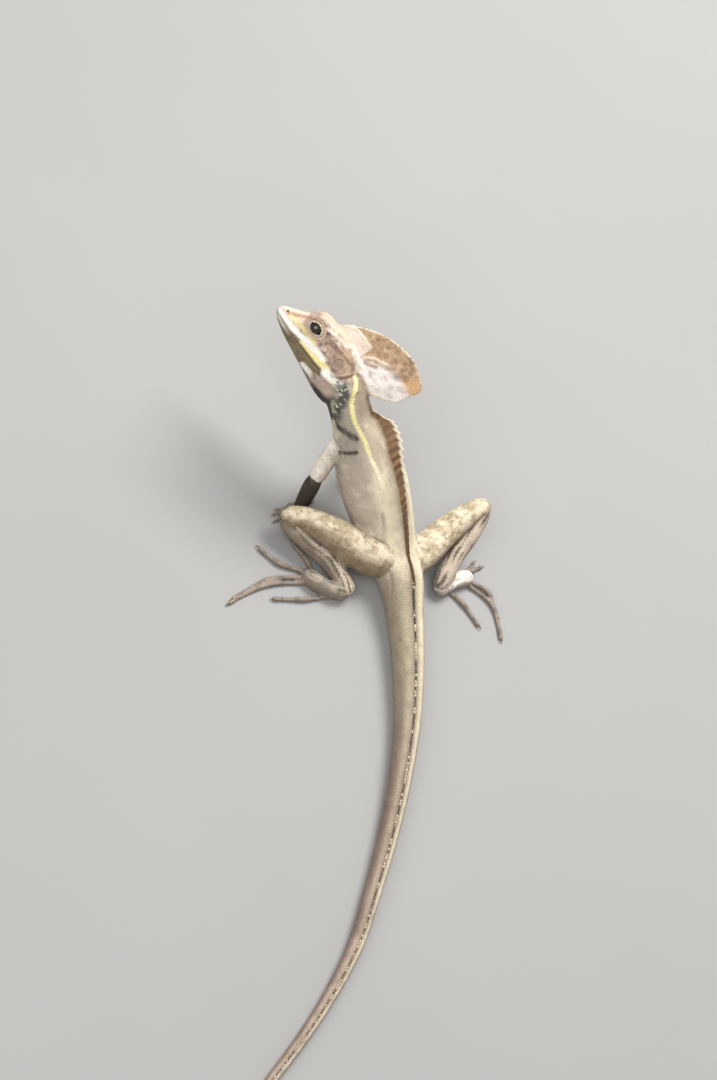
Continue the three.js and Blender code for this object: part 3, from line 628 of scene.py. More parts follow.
BASE_RAISED = 0.75  # how far the thick base of the casque stands out from the blade
BASE_CORNER, BASE_ROUND = (36.4, 22.6), 2.2  # its upper corner at the back, and how round it is
EAR_DEPTH, EAR_RING = 0.5, 0.06
NOSTRIL_DEPTH, NOSTRIL_RING = 0.9, 0.25
HEAD_PIMPLES, VEIN_RAISED, EYE_SUNK = 0.12, 0.16, 2.4

# Folds of the lids: reach from the eye, height, width
LID_FOLDS = [(1.2, 0.4, 0.16), (1.55, -0.22, 0.12), (1.8, 0.15, 0.14), (2.1, -0.15, 0.12)]

# Folds of the body: row and degrees round the left side, height, width
BODY_FOLDS = [
    ([(18.0, 218), (17.9, 208), (17.75, 194), (17.6, 182), (17.5, 172)], -0.9, 1.0),
    ([(17.0, 224), (17.02, 212), (17.06, 196), (17.08, 178)], -0.85, 0.8),
    ([(18.82, 178), (18.92, 166), (18.96, 148), (18.9, 118)], -0.65, 0.8),
    ([(18.66, 224), (19.0, 212), (19.3, 192), (19.34, 176)], 0.5, 0.8),
    ([(18.45, 222), (18.75, 208), (19.0, 192)], -0.4, 0.6),
    ([(16.5, 212), (16.0, 210), (15.58, 214)], -0.35, 0.6),
    ([(14.95, 184), (14.75, 170), (14.6, 156), (14.4, 146)], -0.9, 1.3),
    ([(17.45, 196), (17.35, 180), (17.3, 168)], 0.3, 1.2),
    ([(15.5, 148), (14.9, 148), (14.4, 151), (13.5, 153), (12.9, 160), (12.4, 172)], -0.7, 1.0),
]


def base_edge(back, up):
    """How far a place is outside the thick base of the casque, which is a box with rounded corners."""
    across, high = back - BASE_CORNER[0], up - BASE_CORNER[1]
    outside = np.hypot(np.maximum(across, 0), np.maximum(high, 0))
    return outside + np.minimum(np.maximum(across, high), 0) - BASE_ROUND


def lid_reach(back, up, drawn=0.16):
    """1 at the edge of the eye's opening, which is drawn to a point in front, and more outside it."""
    x, y = (back - EYE["back"]) / LID_LONG, (up - EYE["up"]) / LID_TALL
    return np.hypot(x, y) - drawn * bell(x, -1, 0.45) * bell(y, 0, 0.5)


def sculpt_head(points, normals):
    """Mouth, lips, lids, ears, nostrils and folds, as moves along the surface's own direction."""
    back, left, up = head_place(points)
    out = np.abs(left)
    on_side, outer = smooth(1.0, 2.6, out), smooth(3.0, 4.5, out)
    head = (back < 51) & (back > -3)
    mouth = height_of(MOUTH_LINE, back)
    lips = fade(29.5, 32.5, back) * head
    move = -MOUTH_DEPTH * bell(up, mouth, 0.34) * lips
    for offset in (1.15, -1.3):
        move += LIP_RELIEF * bell(up - mouth, offset, 0.7) * lips
    for line, height, width in HEAD_RELIEF:
        far, along = near_line(back, up, line)
        ends = smooth(0, 0.15, along) * (1 - 0.7 * smooth(0.75, 1, along))
        move += height * bell(far, 0, width) * np.maximum(ends, 0.25) * on_side
    lid = lid_reach(back, up)
    for reach, height, width in LID_FOLDS:
        move += height * bell(lid, reach, width) * outer
    ear = np.hypot((back - EAR["back"]) / EAR["radius"], (up - EAR["up"]) / (EAR["radius"] * 1.1))
    move -= EAR_DEPTH * fade(0.5, 1.3, ear) * outer
    move += EAR_RING * bell(ear, 1.35, 0.25) * outer
    hole = np.hypot(back - NOSTRIL["back"], up - NOSTRIL["up"])
    move += (NOSTRIL_RING * bell(hole, 1.1, 0.35) - NOSTRIL_DEPTH * fade(0.3, 0.75, hole)) * on_side
    move += HEAD_PIMPLES * clouds(points, 1.6, 11) * (back > 8) * (lid > 1.2)
    shaped = points + normals * (move * head)[:, None]
    sunk = EYE_SUNK * fade(0.84, 1.06, lid) * outer * head
    base = BASE_RAISED * fade(-0.8, 0.35, base_edge(back, up))
    base *= (back > 19) * (up > 13.5) * smooth(0.15, 0.5, out) * smooth(19, 23, back)
    blade = (back > 26) * (up > 14) * smooth(0.1, 0.35, out) * (out < 4.5)
    vein = VEIN_RAISED * np.abs(noise(points, 2.4, 13)) * blade
    return shaped - HEAD_LEFT * (np.sign(left) * (sunk - base - vein))[:, None]


def body_line(points, line, mirror):
    """Distance from points to a line on the body, and the share of the way along it."""
    line = np.array(line, float)
    share = np.linspace(0, 1, 12 * len(line))
    steps = np.linspace(0, 1, len(line))
    turn = np.radians(np.interp(share, steps, line[:, 1]))
    row = np.interp(share, steps, line[:, 0])
    path = on_loft(BODY, row, 2 * spine_turn(row) - turn if mirror else turn)
    best, along = np.full(len(points), FAR), np.zeros(len(points))
    inside = (points > path.min(0) - LINE_MARGIN) & (points < path.max(0) + LINE_MARGIN)
    chosen = np.flatnonzero(np.all(inside, 1))
    for place, passed in zip(path, share):
        far = np.linalg.norm(points[chosen] - place, axis=1)
        closer = far < best[chosen]
        best[chosen[closer]] = far[closer]
        along[chosen[closer]] = passed
    return best, along


def sculpt_body(points, normals, found):
    """Folds of the neck, the shoulders and the flanks, and the loose skin between them."""
    move = np.zeros(len(points))
    for line, height, width in BODY_FOLDS:
        for mirror in (False, True):
            far, along = body_line(points, line, mirror)
            move += height * bell(far, 0, width) * smooth(0, 0.2, along) * fade(0.8, 1, along)
    body = (found["part"] == 0) & (found["u"] > 13.5) & (found["u"] < 19.5)
    low = fade(0.55, 0.9, np.sin(found["angle"]))
    slack = 0.22 * clouds(points, 5.0, 15) + 0.07 * noise(points, 1.7, 16)
    return points + normals * (move + slack * body * low)[:, None]


def skin_points(mesh):
    """Smooths the joins between parts and thins the surface, least on the head and the feet."""
    points, edges = arrays(mesh)
    found = locate(points)
    names = np.array(PART_NAMES)[found["part"]]
    hip = named(names, "thigh") & (found["u"] < 3)
    hip |= (names == "body") & (found["u"] > 12.8) & (found["u"] < 15.6)
    join = fade(0.4, np.where(hip, HIP_BLEND, JOIN_BLEND), found["second"])
    weight = join * np.where(named(names, "digit"), 0.25, 0.9) * (1 - leg_fold(found))
    points = relax(points, edges, weight, JOIN_ROUNDS)
    points = relax(points, edges, weight * hip, HIP_ROUNDS)
    points = relax(points, edges, brow_joins(points), BROW_ROUNDS)
    points = relax(points, edges, np.full(len(points), 0.3), 3)
    points[:, 2] = np.maximum(points[:, 2], FLOOR_GAP)
    back, left, up = head_place(points)
    head = fade(40, 46, back) * (up < 22)
    casque = (back > 18) * (back < 70) * (up > 12) * (np.abs(left) < 3)
    paw = named(names, "foot") | named(names, "hand")
    return thinned(mesh, points, np.maximum.reduce([head * 1.0, casque * 0.5, paw * 0.6]))


def leg_fold(found):
    """1 where thigh and shin lie against each other, so that the crease between them stays."""
    share = np.zeros(len(found["u"]))
    for word, start, end in (("thigh", 0.32, 0.8), ("shin", 0.12, 0.65)):
        for index, (name, rows) in enumerate(PARTS.items()):
            if word in name:
                along = (found["u"] - 1) / (len(rows) - 3)
                part = smooth(start, start + 0.14, along) * fade(end, end + 0.15, along)
                share = np.where(found["part"] == index, part, share)
    return share


def brow_joins(points):
    """How much the surface is smoothed where the brows and the casque leave the skull."""
    back, left, up = head_place(points)
    out = np.abs(left)
    reach = np.sqrt(((back - ORBIT["back"]) / ORBIT["long"]) ** 2 + ((out - ORBIT["out"]) / ORBIT["wide"]) ** 2
                    + ((up - ORBIT["up"]) / ORBIT["tall"]) ** 2)
    casque = (back > 20) * (back < 56) * (up > 9) * smooth(0.9, 1.6, out) * fade(4.5, 6.5, out)
    return 0.85 * np.maximum(bell(reach, 1.15, 0.4), 0.6 * casque)


def make_skin():
    """The skin, in metres, and its points, in millimetres."""
    mesh = skin_points(skin_blank())
    points, _ = arrays(mesh)
    points = sculpt_body(points, normals_of(mesh), locate(points))
    mesh.vertices.foreach_set("co", points.ravel())
    mesh.update()
    points = sculpt_head(points, normals_of(mesh))
    points[:, 2] = np.maximum(points[:, 2], FLOOR_GAP)
    mesh.vertices.foreach_set("co", (points * MM).ravel())
    mesh.update()
    mesh.name = "skin"
    return mesh, points


# Markings

def paint_layer(colour, tone, share):
    """A colour with a tone laid over it, by a share of every point."""
    return colour + (tone - colour) * np.clip(share, 0, 1)[..., None]


def layered(colour, *layers):
    """A colour with named tones laid over it in turn."""
    for name, share in layers:
        colour = paint_layer(colour, TONE[name], share)
    return colour


def plain(name, points):
    """One tone at every point."""
    return np.broadcast_to(TONE[name], points.shape)


# Markings of the head: line of back and up, half width, softness, tone, strength
HEAD_MARKS = [
    # orange-brown line under the canthus: partly its own colour, partly painted shade beneath the ridge
    ([(3, 4.1), (5.7, 6.5), (8.7, 8.9), (11, 11.2), (12.4, 13)], 0.5, 0.5, "canthus", 0.8),
    ([(5, 4.4), (9, 4.8), (12.7, 5.9), (16.5, 5.6), (20.5, 6.4)], 1.0, 0.9, "lip_yellow", 0.75),
    ([(17.5, 2.2), (21.8, 2.9), (28.1, 3.4), (33.4, 3.8)], 1.7, 0.7, "lip_yellow", 0.9),
    ([(0.2, 1.2), (3.7, 2.0), (8.1, 1.9), (13.1, 2.6), (17.3, 3.6)], 1.15, 0.4, "lip", 1),
    ([(17.3, 3.6), (21.8, 4.4), (25.6, 4.9), (28, 5.0)], 1.6, 0.7, "lip", 0.9),
    ([(24.5, 3.0), (29.1, 3.3), (33.4, 3.8)], 0.9, 0.6, "lip_yellow", 0.8),
    # dark line on the mouth: painted shade in the groove between the jaws
    ([(18, 0.5), (25.5, 0.8), (31.7, 1.6)], 0.3, 0.3, "jaw_dark", 0.8),
    ([(33.6, 2.6), (38.3, 3.4), (42.2, 4.2)], 1.9, 0.8, "lip", 1),
    ([(25.2, -4.2), (28, -3.9), (31, -3.7)], 1.25, 0.6, "jaw_pale", 0.95),
    ([(33, -3.2), (38, -2.4), (42, -2)], 2.2, 1.2, "jaw_pink", 0.75),
    ([(31.4, -2.4), (33, -2.9)], 0.6, 0.5, "jaw_dark", 0.6),
    ([(32.6, 13.4), (35.1, 14.0), (37.5, 11.4), (39.4, 9.4)], 2.0, 1.4, "tan", 0.7),
    ([(36.2, 4.0), (38.6, 5.4), (40.6, 8.2), (42.4, 11.6)], 0.5, 0.6, "casque_dark", 0.6),
]

# Markings where the casque leaves the head, in the same way
CASQUE_MARKS = [
    ([(18.6, 14.6), (21, 15.2), (25.9, 16.3), (30.5, 16.7), (33, 18.6)], 0.65, 0.45, "ridge", 0.9),
    ([(34.6, 17.6), (38.7, 16.2), (42.9, 15.7)], 1.1, 0.5, "ridge", 1),
    ([(39.4, 19.5), (42.7, 22.7), (45.8, 24.2), (49.2, 26.1)], 0.55, 0.5, "ridge", 0.75),
    ([(41.2, 18.2), (43.8, 19.5), (46, 20.8)], 0.8, 0.7, "casque_red", 0.7),
]

# Dark patches of the head, the casque and its pale lobe: back, up, radius, strength
HEAD_SPOTS = [
    (33.4, 11.2, 1.3, 0.8), (35.2, 7.4, 1.5, 0.8), (31.0, 6.6, 1.1, 0.6), (26.2, 6.4, 1.2, 0.7),
    (22.6, 8.2, 0.9, 0.6), (30.2, 9.8, 1.0, 0.6), (27.4, 12.6, 1.3, 0.45), (19.5, -2.5, 1.0, 0.6),
    (12.2, -2.2, 0.9, 0.6), (15.6, -1.3, 0.8, 0.5), (24.0, -1.6, 0.9, 0.5),
]
CASQUE_SPOTS = [
    (36.7, 29.0, 1.3, 0.75), (42.6, 30.6, 1.1, 0.65), (44.6, 27.4, 1.4, 0.7), (49.1, 29.3, 1.2, 0.65),
    (52.7, 32.0, 1.2, 0.6), (46.4, 32.8, 1.0, 0.5),
    (40.6, 27.6, 0.9, 0.5), (54.6, 28.8, 1.3, 0.6), (57.6, 31.4, 1.1, 0.5), (51.6, 26.6, 1.0, 0.5),
    (58.8, 27.6, 1.2, 0.5), (61.4, 30.0, 1.0, 0.4), (33.2, 27.0, 0.8, 0.45),
]
LOBE_SPOTS = [(49.4, 24.7, 1.6, 0.8), (55.3, 25.3, 1.7, 0.8), (47.2, 17.2, 1.5, 0.55), (52.4, 21.0, 1.3, 0.45),
              (57.0, 20.4, 1.2, 0.5), (60.6, 23.4, 1.3, 0.4), (50.8, 16.6, 1.0, 0.35), (59.6, 17.2, 0.9, 0.3)]

# Lower edge of the crown and upper edge of the lobe, as heights along the head
CROWN_EDGE = [(0, 4.8), (8, 9.6), (12, 13.6), (16, 15.0), (20, 15.4), (30, 17.0), (41, 12.5)]
LOBE_EDGE = [(40, 18), (44, 20.5), (50, 24.8), (55, 25.4), (62, 26.2), (66, 25.0)]
CASQUE_TIP, CASQUE_POINT = (63.6, 28.6), (67.2, 31)


def spots(base, back, up, ragged, marks, tone):
    """Ragged round patches in one tone."""
    for x, y, radius, strength in marks:
        far = np.hypot(back - x, up - y) / radius + ragged
        base = layered(base, (tone, fade(0.3, 1.4, far) * strength))
    return base


def marked(base, back, up, ragged, marks, side=1.0):
    """Soft lines, each in its own tone and width."""
    for line, width, edge, tone, strength in marks:
        far, _ = near_line(back, up, line)
        base = layered(base, (tone, fade(width - edge, width + edge, far + ragged) * strength * side))
    return base


def paint_head(points, colour):
    """Cheeks, crown, lids, lips and jaw, with painted shade in the eye openings, the lid folds, the nostrils and the
    mouth line.
    """
    back, left, up = head_place(points)
    mottle, fine = clouds(points, 3.0, 3), clouds(points, 1.2, 9)
    mouth = height_of(MOUTH_LINE, back)
    lid = lid_reach(back, up)
    top = smooth(0.0, 2.2, up - height_of(CROWN_EDGE, back))
    jaw = fade(-0.3, 0.2, up - mouth) * fade(31, 36, back)
    ear = np.hypot(back - EAR["back"], up - EAR["up"]) / EAR["radius"]
    hole = np.hypot(back - NOSTRIL["back"], up - NOSTRIL["up"])
    under = fade(-6.0, -3.6, up + 0.8 * mottle - 0.06 * (back - 38)) * smooth(31, 38, back)
    base = layered(
        plain("cheek", points),
        ("cheek_dark", smooth(0.0, 0.45, mottle + 0.3 * fine) * 0.75),
        ("fleck", smooth(0.18, 0.5, -mottle - 0.5 * fine) * 0.75),
        ("snout", fade(8, 13, back) * 0.9),
        ("crown", top * (0.92 - 0.12 * mottle)),
        ("lid", fade(1.7, 2.2, lid + 0.3 * top) * 0.9),
        # dark rings in the sunk folds of the lids: painted shade in those creases
        ("cheek_dark", bell(lid, 1.52, 0.1) * 0.6),
        ("cheek_dark", bell(lid, 2.05, 0.1) * 0.35),
        ("lid_rim", bell(lid, 1.26, 0.12) * 0.7),
        # near black inside the eye's opening, round the eyeball: painted shade
        ("throat", fade(1.02, 1.12, lid)),
        ("jaw", jaw),
        ("jaw_dark", jaw * smooth(0.0, 0.5, clouds(points, 1.8, 29)) * 0.7),
        ("lip", jaw * fade(0.8, 2.0, mouth - up) * fade(6, 12, back) * 0.5),
        ("ear", fade(0.3, 2.2, ear + 0.8 * fine) * 0.3),
    )
    base = spots(base, back, up, 0.5 * fine, HEAD_SPOTS, "cheek_dark")
    base = marked(base, back, up, 0.3 * fine, HEAD_MARKS + CASQUE_MARKS, smooth(0.5, 2.0, np.abs(left)))
    base = layered(
        base,
        # near black in the nostril: painted shade in the hole
        ("throat", fade(0.3, 0.65, hole)),
        # dark line along the mouth: painted shade in the groove between the jaws
        ("jaw_dark", bell(up, mouth, 0.2) * (back < 31) * (back > -2) * 0.85),
        ("throat", under * 0.95),
    )
    return paint_layer(colour, base, fade(41, 46, back))


def paint_casque(points, colour, share):
    """The blade of the casque: tan and mottled above, pale below, with its thick base."""
    back, _, up = head_place(points)
    mottle, fine = clouds(points, 3.0, 21), clouds(points, 1.1, 25)
    ragged = 0.9 * fine + 0.4 * mottle
    lobe = smooth(1.5, -1.5, up - height_of(LOBE_EDGE, back) + 1.4 * mottle)
    rim, _ = near_line(back, up, blend(CASQUE_EDGE, np.linspace(0, len(CASQUE_EDGE) - 1, 60)))
    thick = fade(-0.6, 0.5, base_edge(back, up) + 0.3 * fine)
    base = layered(
        plain("casque", points),
        ("casque_dark", smooth(0.0, 0.5, mottle + 0.5 * fine) * 0.6),
        ("casque_pale", smooth(0.1, 0.5, -mottle - 0.5 * fine) * 0.7),
    )
    base = layered(
        spots(base, back, up, ragged, CASQUE_SPOTS, "casque_dark"),
        ("casque_lobe", lobe),
        ("casque_lobe_dark", lobe * smooth(0.2, 0.6, clouds(points, 2.2, 33)) * 0.45),
    )
    base = layered(
        spots(base, back, up, ragged, LOBE_SPOTS, "casque_lobe_dark"),
        ("casque_rim", fade(0.3, 1.2, rim + 0.4 * fine) * 0.9),
        ("casque_tip", fade(1.5, 6.5, np.hypot(back - CASQUE_TIP[0], up - CASQUE_TIP[1])) * 0.8),
        ("jaw_pale", fade(0.5, 1.3, np.hypot(back - CASQUE_POINT[0], up - CASQUE_POINT[1]))),
        ("casque_base", thick * (back > 20) * (0.92 - 0.12 * mottle)),
    )
    return paint_layer(colour, marked(base, back, up, 0.3 * fine, CASQUE_MARKS), share)


# Markings of the body: row and degrees round the left side, half width, softness, tone, strength
# Dark lines laid along the sculpted folds and grooves are painted shade in those creases
BODY_MARKS = [
    ([(20.1, 180), (19.5, 180), (19.1, 186), (18.8, 200), (18.4, 216)], 2.3, 1.2, "neck_dark", 0.9),
    ([(19.1, 214), (18.85, 222), (18.5, 226)], 1.1, 0.7, "throat_pale", 0.8),
    # painted shade in the folds of the neck and the shoulder
    ([(18.0, 218), (17.88, 208), (17.75, 194), (17.6, 182)], 1.4, 0.8, "crease_shade", 1),
    ([(17.0, 224), (17.02, 212), (17.06, 198), (17.08, 182)], 1.0, 0.6, "crease_shade", 1),
    ([(18.86, 176), (18.94, 162), (18.98, 148), (18.9, 124)], 0.4, 0.5, "crease_shade", 0.55),
    ([(18.55, 150), (18.2, 148)], 1.3, 1.2, "shoulder", 0.6),
    ([(16.9, 226), (16.4, 222), (15.9, 222), (15.4, 226)], 1.6, 1.4, "flank_pink", 0.6),
    ([(16.5, 210), (16.0, 208), (15.58, 212)], 0.3, 0.3, "stripe_pale", 0.4),
    ([(18.15, 234), (18.05, 238)], 0.9, 0.5, "stripe", 0.8),
    # painted shade in the groove by the hip
    ([(14.8, 172), (14.62, 158), (14.45, 148)], 0.9, 0.9, "thigh_dark", 0.6),
    # painted shade in the groove beside the back
    ([(15.5, 148), (14.9, 148), (14.4, 151), (13.5, 153), (12.9, 160)], 0.7, 0.6, "shoulder", 0.85),
    # painted shade where the thigh meets the body
    ([(14.3, 166), (14.0, 172)], 1.2, 1.2, "crease_shade", 0.5),
    ([(18.2, 97), (17.95, 100)], 1.3, 1.0, "crest_dark", 0.75),
]
STRIPE = [(19.5, 122), (19.26, 136), (18.96, 164), (18.74, 171), (18.32, 171), (17.72, 164), (17.12, 154),
          (16.76, 148), (16.46, 141), (16.04, 136), (15.6, 134)]


def paint_tail(points, u, high, side, fine):
    """Dusky tail with a pale stripe on each side of its ridge line, the right one stronger as painted light, a dark
    line along the ridge as painted shadow, and faint rings to the end.
    """
    rings = noise(np.stack([u * 3.1, 0 * u, 0 * u], -1), 0.55, 51)
    upper = high > 0
    return layered(
        plain("tail_end", points),
        ("tail_middle", smooth(5.5, 8.5, u)),
        ("tail_root", smooth(8.5, 11.0, u)),
        # pale stripe on each side of the ridge; the right one is painted brighter as painted light
        ("stripe_pale", bell(np.abs(side), 0.5, 0.26) * upper * np.where(side > 0, 0.6, 0.2)),
        ("belly", smooth(0.3, 0.9, -high) * 0.8),
        ("tail_dark", smooth(0.25, 0.8, rings + 0.3 * fine) * 0.4 * smooth(-0.5, 0.2, high) * fade(8, 10.5, u)),
        # dark line along the top of the ridge: painted shadow of the ridge scales
        ("tail_dark", bell(side, 0, 0.13) * upper * 0.7),
        ("tail_dark", smooth(0.1, 0.6, clouds(points, 2.4, 53)) * 0.25),
    )


def paint_trunk(points, colour, u, high, mottle, fine):
    """Throat, marks and stripes of the body, on both sides, with painted shade along its folds."""
    throat = smooth(17.8, 18.3, u) * fade(-0.75, -0.2, high + 0.2 * mottle)
    colour = layered(colour, ("throat", throat * 0.95))
    fleck = smooth(0.1, 0.3, clouds(points, 1.1, 47))
    for line, width, edge, tone, strength in BODY_MARKS:
        for mirror in (False, True):
            far, _ = body_line(points, line, mirror)
            share = fade(width - edge, width + edge, far + 0.2 * fine)
            colour = layered(colour, (tone, share * strength))
            if tone == "neck_dark":
                colour = layered(colour, ("neck_fleck", share * fleck * 0.9))
    for mirror in (False, True):
        far, along = body_line(points, STRIPE, mirror)
        share = fade(0.75, 1.35, far * (1 + 0.25 * smooth(0.5, 1, along)) + 0.25 * fine)
        tone = paint_layer(TONE["stripe"], TONE["stripe_pale"], smooth(0.55, 0.75, along))
        colour = paint_layer(colour, tone, share * (1 - 0.75 * smooth(0.7, 0.95, along)) * 0.95)
    return colour


def paint(points, found):
    """The markings at any points of the hide."""
    u, angle = found["u"], found["angle"]
    body = found["part"] == 0
    from_ridge = angle - np.where(body, spine_turn(u) - np.pi / 2, 0)
    high, side = np.sin(from_ridge), np.cos(from_ridge)
    mottle, fine = clouds(points, 4.5, 1), clouds(points, 1.6, 5)
    shaded_side = smooth(16.4, 17.2, u) * fade(0.0, 0.45, high) * smooth(-0.95, -0.6, high)
    streak = clouds(np.stack([u * 2, side * 9, high * 9], -1), 1.5, 49)
    colour = layered(
        plain("flank", points),
        ("back", smooth(0.25, 0.9, high + 0.15 * mottle)),
        ("belly", smooth(0.35, 0.85, -high)),
        ("shoulder", shaded_side * 0.75),
        ("nape", smooth(17.8, 18.4, u) * smooth(0.2, 0.6, high) * 0.9),
        ("shoulder", smooth(0.2, 0.6, clouds(points, 2.4, 43)) * 0.3),
        ("stripe_pale", smooth(0.15, 0.5, -clouds(points, 3.4, 45)) * 0.3),
        # pale band along each side of the crest: partly a pale stripe, partly painted highlight of the lit back
        ("stripe_pale", bell(high, 0.78, 0.2) * fade(16.0, 16.9, u) * 0.55),
        ("shoulder", smooth(0.1, 0.5, streak) * smooth(0.2, 0.5, high) * 0.35),
    )
    colour[body] = paint_trunk(points[body], colour[body], u[body], high[body], mottle[body], fine[body])
    colour = paint_layer(colour, paint_tail(points, u, high, side, fine), fade(12.4, 13.8, u))
    colour = colour * (1 + 0.08 * mottle + 0.1 * fine)[:, None]
    colour = paint_limbs(points, found, colour)
    head = body & (u > SKULL_ROW - 0.3)
    colour[head] = paint_head(points[head], colour[head])
    back, left, up = head_place(points)
    casque = body & (found["above"] > 1.2) & (back > 18) & (up > 8) & (np.abs(left) < 6)
    share = smooth(1.0, 2.6, found["above"][casque])
    colour[casque] = paint_casque(points[casque], colour[casque], share)
    late = body & (u > 19.0) & (u < 20.4) & (back > 40)
    colour[late] = late_marks(points[late], colour[late], fine[late])
    return np.clip(colour, 0.004, 0.95)


def late_marks(points, colour, fine):
    """The start of the pale stripe and the dark side of the neck, laid over the end of the head's colours."""
    fleck = smooth(0.1, 0.3, clouds(points, 1.1, 47))
    for mirror in (False, True):
        dark, _ = body_line(points, BODY_MARKS[0][0], mirror)
        share = fade(1.1, 3.5, dark + 0.3 * fine) * 0.8
        stripe, _ = body_line(points, STRIPE, mirror)
        colour = layered(colour, ("neck_dark", share), ("neck_fleck", share * fleck),
                         ("stripe", fade(0.75, 1.35, stripe + 0.25 * fine) * 0.95))
    return colour


# Tones of the limbs: ground, patches, spots or streaks, and the painted shade of the side turned to the floor and the
# tail
LIMB_TONES = {
    "thigh": ("thigh", "thigh_ochre", "thigh_dark", "thigh_shade"),
    "shin": ("shin", "shin_pink", "shin_dark", "shin_shade"),
    "upper_arm": ("upper_arm", "upper_arm", "thigh_ochre", "thigh_shade"),
    "forearm": ("forearm", "forearm", "forearm_pale", "forearm"),
    "palm": ("foot", "shin", "shin_dark", "shin_shade"),
    "digit": ("toe", "toe", "toe_dark", "shin_shade"),
}


def paint_limbs(points, found, colour):
    """Legs, feet, arms and hands, each kind with its own ground, patches and marks, painted shade on its underside,
    and painted shade in the crease between thigh and shin.
    """
    mottle, fine, broad = clouds(points, 1.5, 61), clouds(points, 0.9, 65), clouds(points, 3.2, 67)
    folded = leg_fold(found)
    for index, (name, rows) in enumerate(PARTS.items()):
        chosen = np.flatnonzero(found["part"] == index)
        if name == "body" or not len(chosen):
            continue
        kind = next(word for word in LIMB_TONES if word in name)
        ground, patch, dark, under = LIMB_TONES[kind]
        white_foot = name == "foot_right_palm"
        u, angle = found["u"][chosen], found["angle"][chosen]
        _, _, right, up = frames(rows, u)
        outward = right * np.cos(angle)[:, None] + up * np.sin(angle)[:, None]
        turned = -0.75 * outward[:, 1] - 0.65 * outward[:, 2]
        near, ragged = mottle[chosen], fine[chosen]
        long_lines = np.cos(10 * angle + 3.2 * noise(points[chosen], 7.0, 71))
        broken = noise(np.stack([u * 1.6, np.cos(angle) * 2.6, np.sin(angle) * 2.6], -1), 0.8, 73)
        streak = 0.6 * long_lines + 1.3 * broken + 0.4 * near
        marks = {
            "thigh": smooth(0.15, 0.65, near + 0.9 * ragged) * 0.5,
            "shin": smooth(-0.05, 0.7, streak + 0.3 * ragged) * 0.85,
            "upper_arm": smooth(0.2, 0.6, near) * 0.4,
            "forearm": smooth(0.2, 0.5, near + 0.3 * ragged) * 0.5,
            "palm": smooth(0.1, 0.9, streak + 0.3 * ragged) * (0.35 if white_foot else 0.75),
            "digit": smooth(0.3, 0.9, np.sin(u * 6.0 + 2 * near)) * 0.5,
        }
        layer = layered(
            plain("foot_pale" if white_foot else ground, points[chosen]),
            (patch, smooth(-0.2, 0.3, broad[chosen] + 0.4 * near) * (0.6 if kind == "thigh" else 0.5)),
            (dark, marks[kind]),
            # the side turned to the floor and the tail gets painted shade
            (under, smooth(-0.4, 0.5, turned + 0.15 * near) * 0.8),
        )
        # painted shade in the crease where thigh and shin lie against each other
        if kind in ("thigh", "shin", "upper_arm"):
            crease = fade(0.1, 1.1, found["second"][chosen]) * folded[chosen]
            layer = layered(layer, ("crease_shade", crease * 0.5))
        colour[chosen] = layer * (1 + 0.1 * ragged)[:, None]
    return colour


# Coat of scales

def small_solid(name, shoulder, crown, low, lip):
    """A scale that points along +X: a sunk rim, a shoulder and a crown line, of length and width 1."""
    turn = np.linspace(0, 2 * np.pi, 6, endpoint=False)
    ring = np.stack([np.cos(turn), np.sin(turn) * SCALE_WIDE], -1)
    points = [(x * SCALE_RIM, y * SCALE_RIM, low) for x, y in ring]
    points += [(x * shoulder, y * shoulder, lip + 0.06 * x) for x, y in ring]
    points += crown
    faces = [[5, 4, 3, 2, 1, 0]]
    faces += [[k, (k + 1) % 6, 6 + (k + 1) % 6, 6 + k] for k in range(6)]
    faces += [[6, 7, 13], [7, 8, 12, 13], [8, 9, 12], [9, 10, 12], [10, 11, 13, 12], [11, 6, 13]]
    thing = linked(name, new_mesh(name, points, faces))
    for face in thing.data.polygons:
        face.use_smooth = True
    add_attribute(thing.data, "patch", "FLOAT_VECTOR", np.array([(x * 0.5, y * 0.5, 0) for x, y, _ in points]))
    # crown runs from the rim to the top of the scale; the hide darkens the rim by it as painted shade
    add_attribute(thing.data, "crown", "FLOAT", np.array([0.0] * 6 + [0.6] * 6 + [1.0] * 2))
    return thing


def add_attribute(mesh, name, kind, values):
    field = {"FLOAT": "value", "FLOAT_VECTOR": "vector", "FLOAT_COLOR": "color"}[kind]
    values = np.asarray(values, np.float32)
    if kind == "FLOAT_COLOR" and values.shape[1] == 3:
        values = np.hstack([values, np.ones((len(values), 1), np.float32)])
    mesh.attributes.new(name, kind, "POINT").data.foreach_set(field, values.ravel())


def node(tree, kind, inputs=None, **settings):
    """Adds a node with its settings, and sets or links its inputs by name or number."""
    made = tree.nodes.new(kind)
    for key, value in settings.items():
        setattr(made, key, value)
    for key, value in (inputs or {}).items():
        if isinstance(value, bpy.types.NodeSocket):
            tree.links.new(value, made.inputs[key])
        else:
            made.inputs[key].default_value = value
    return made


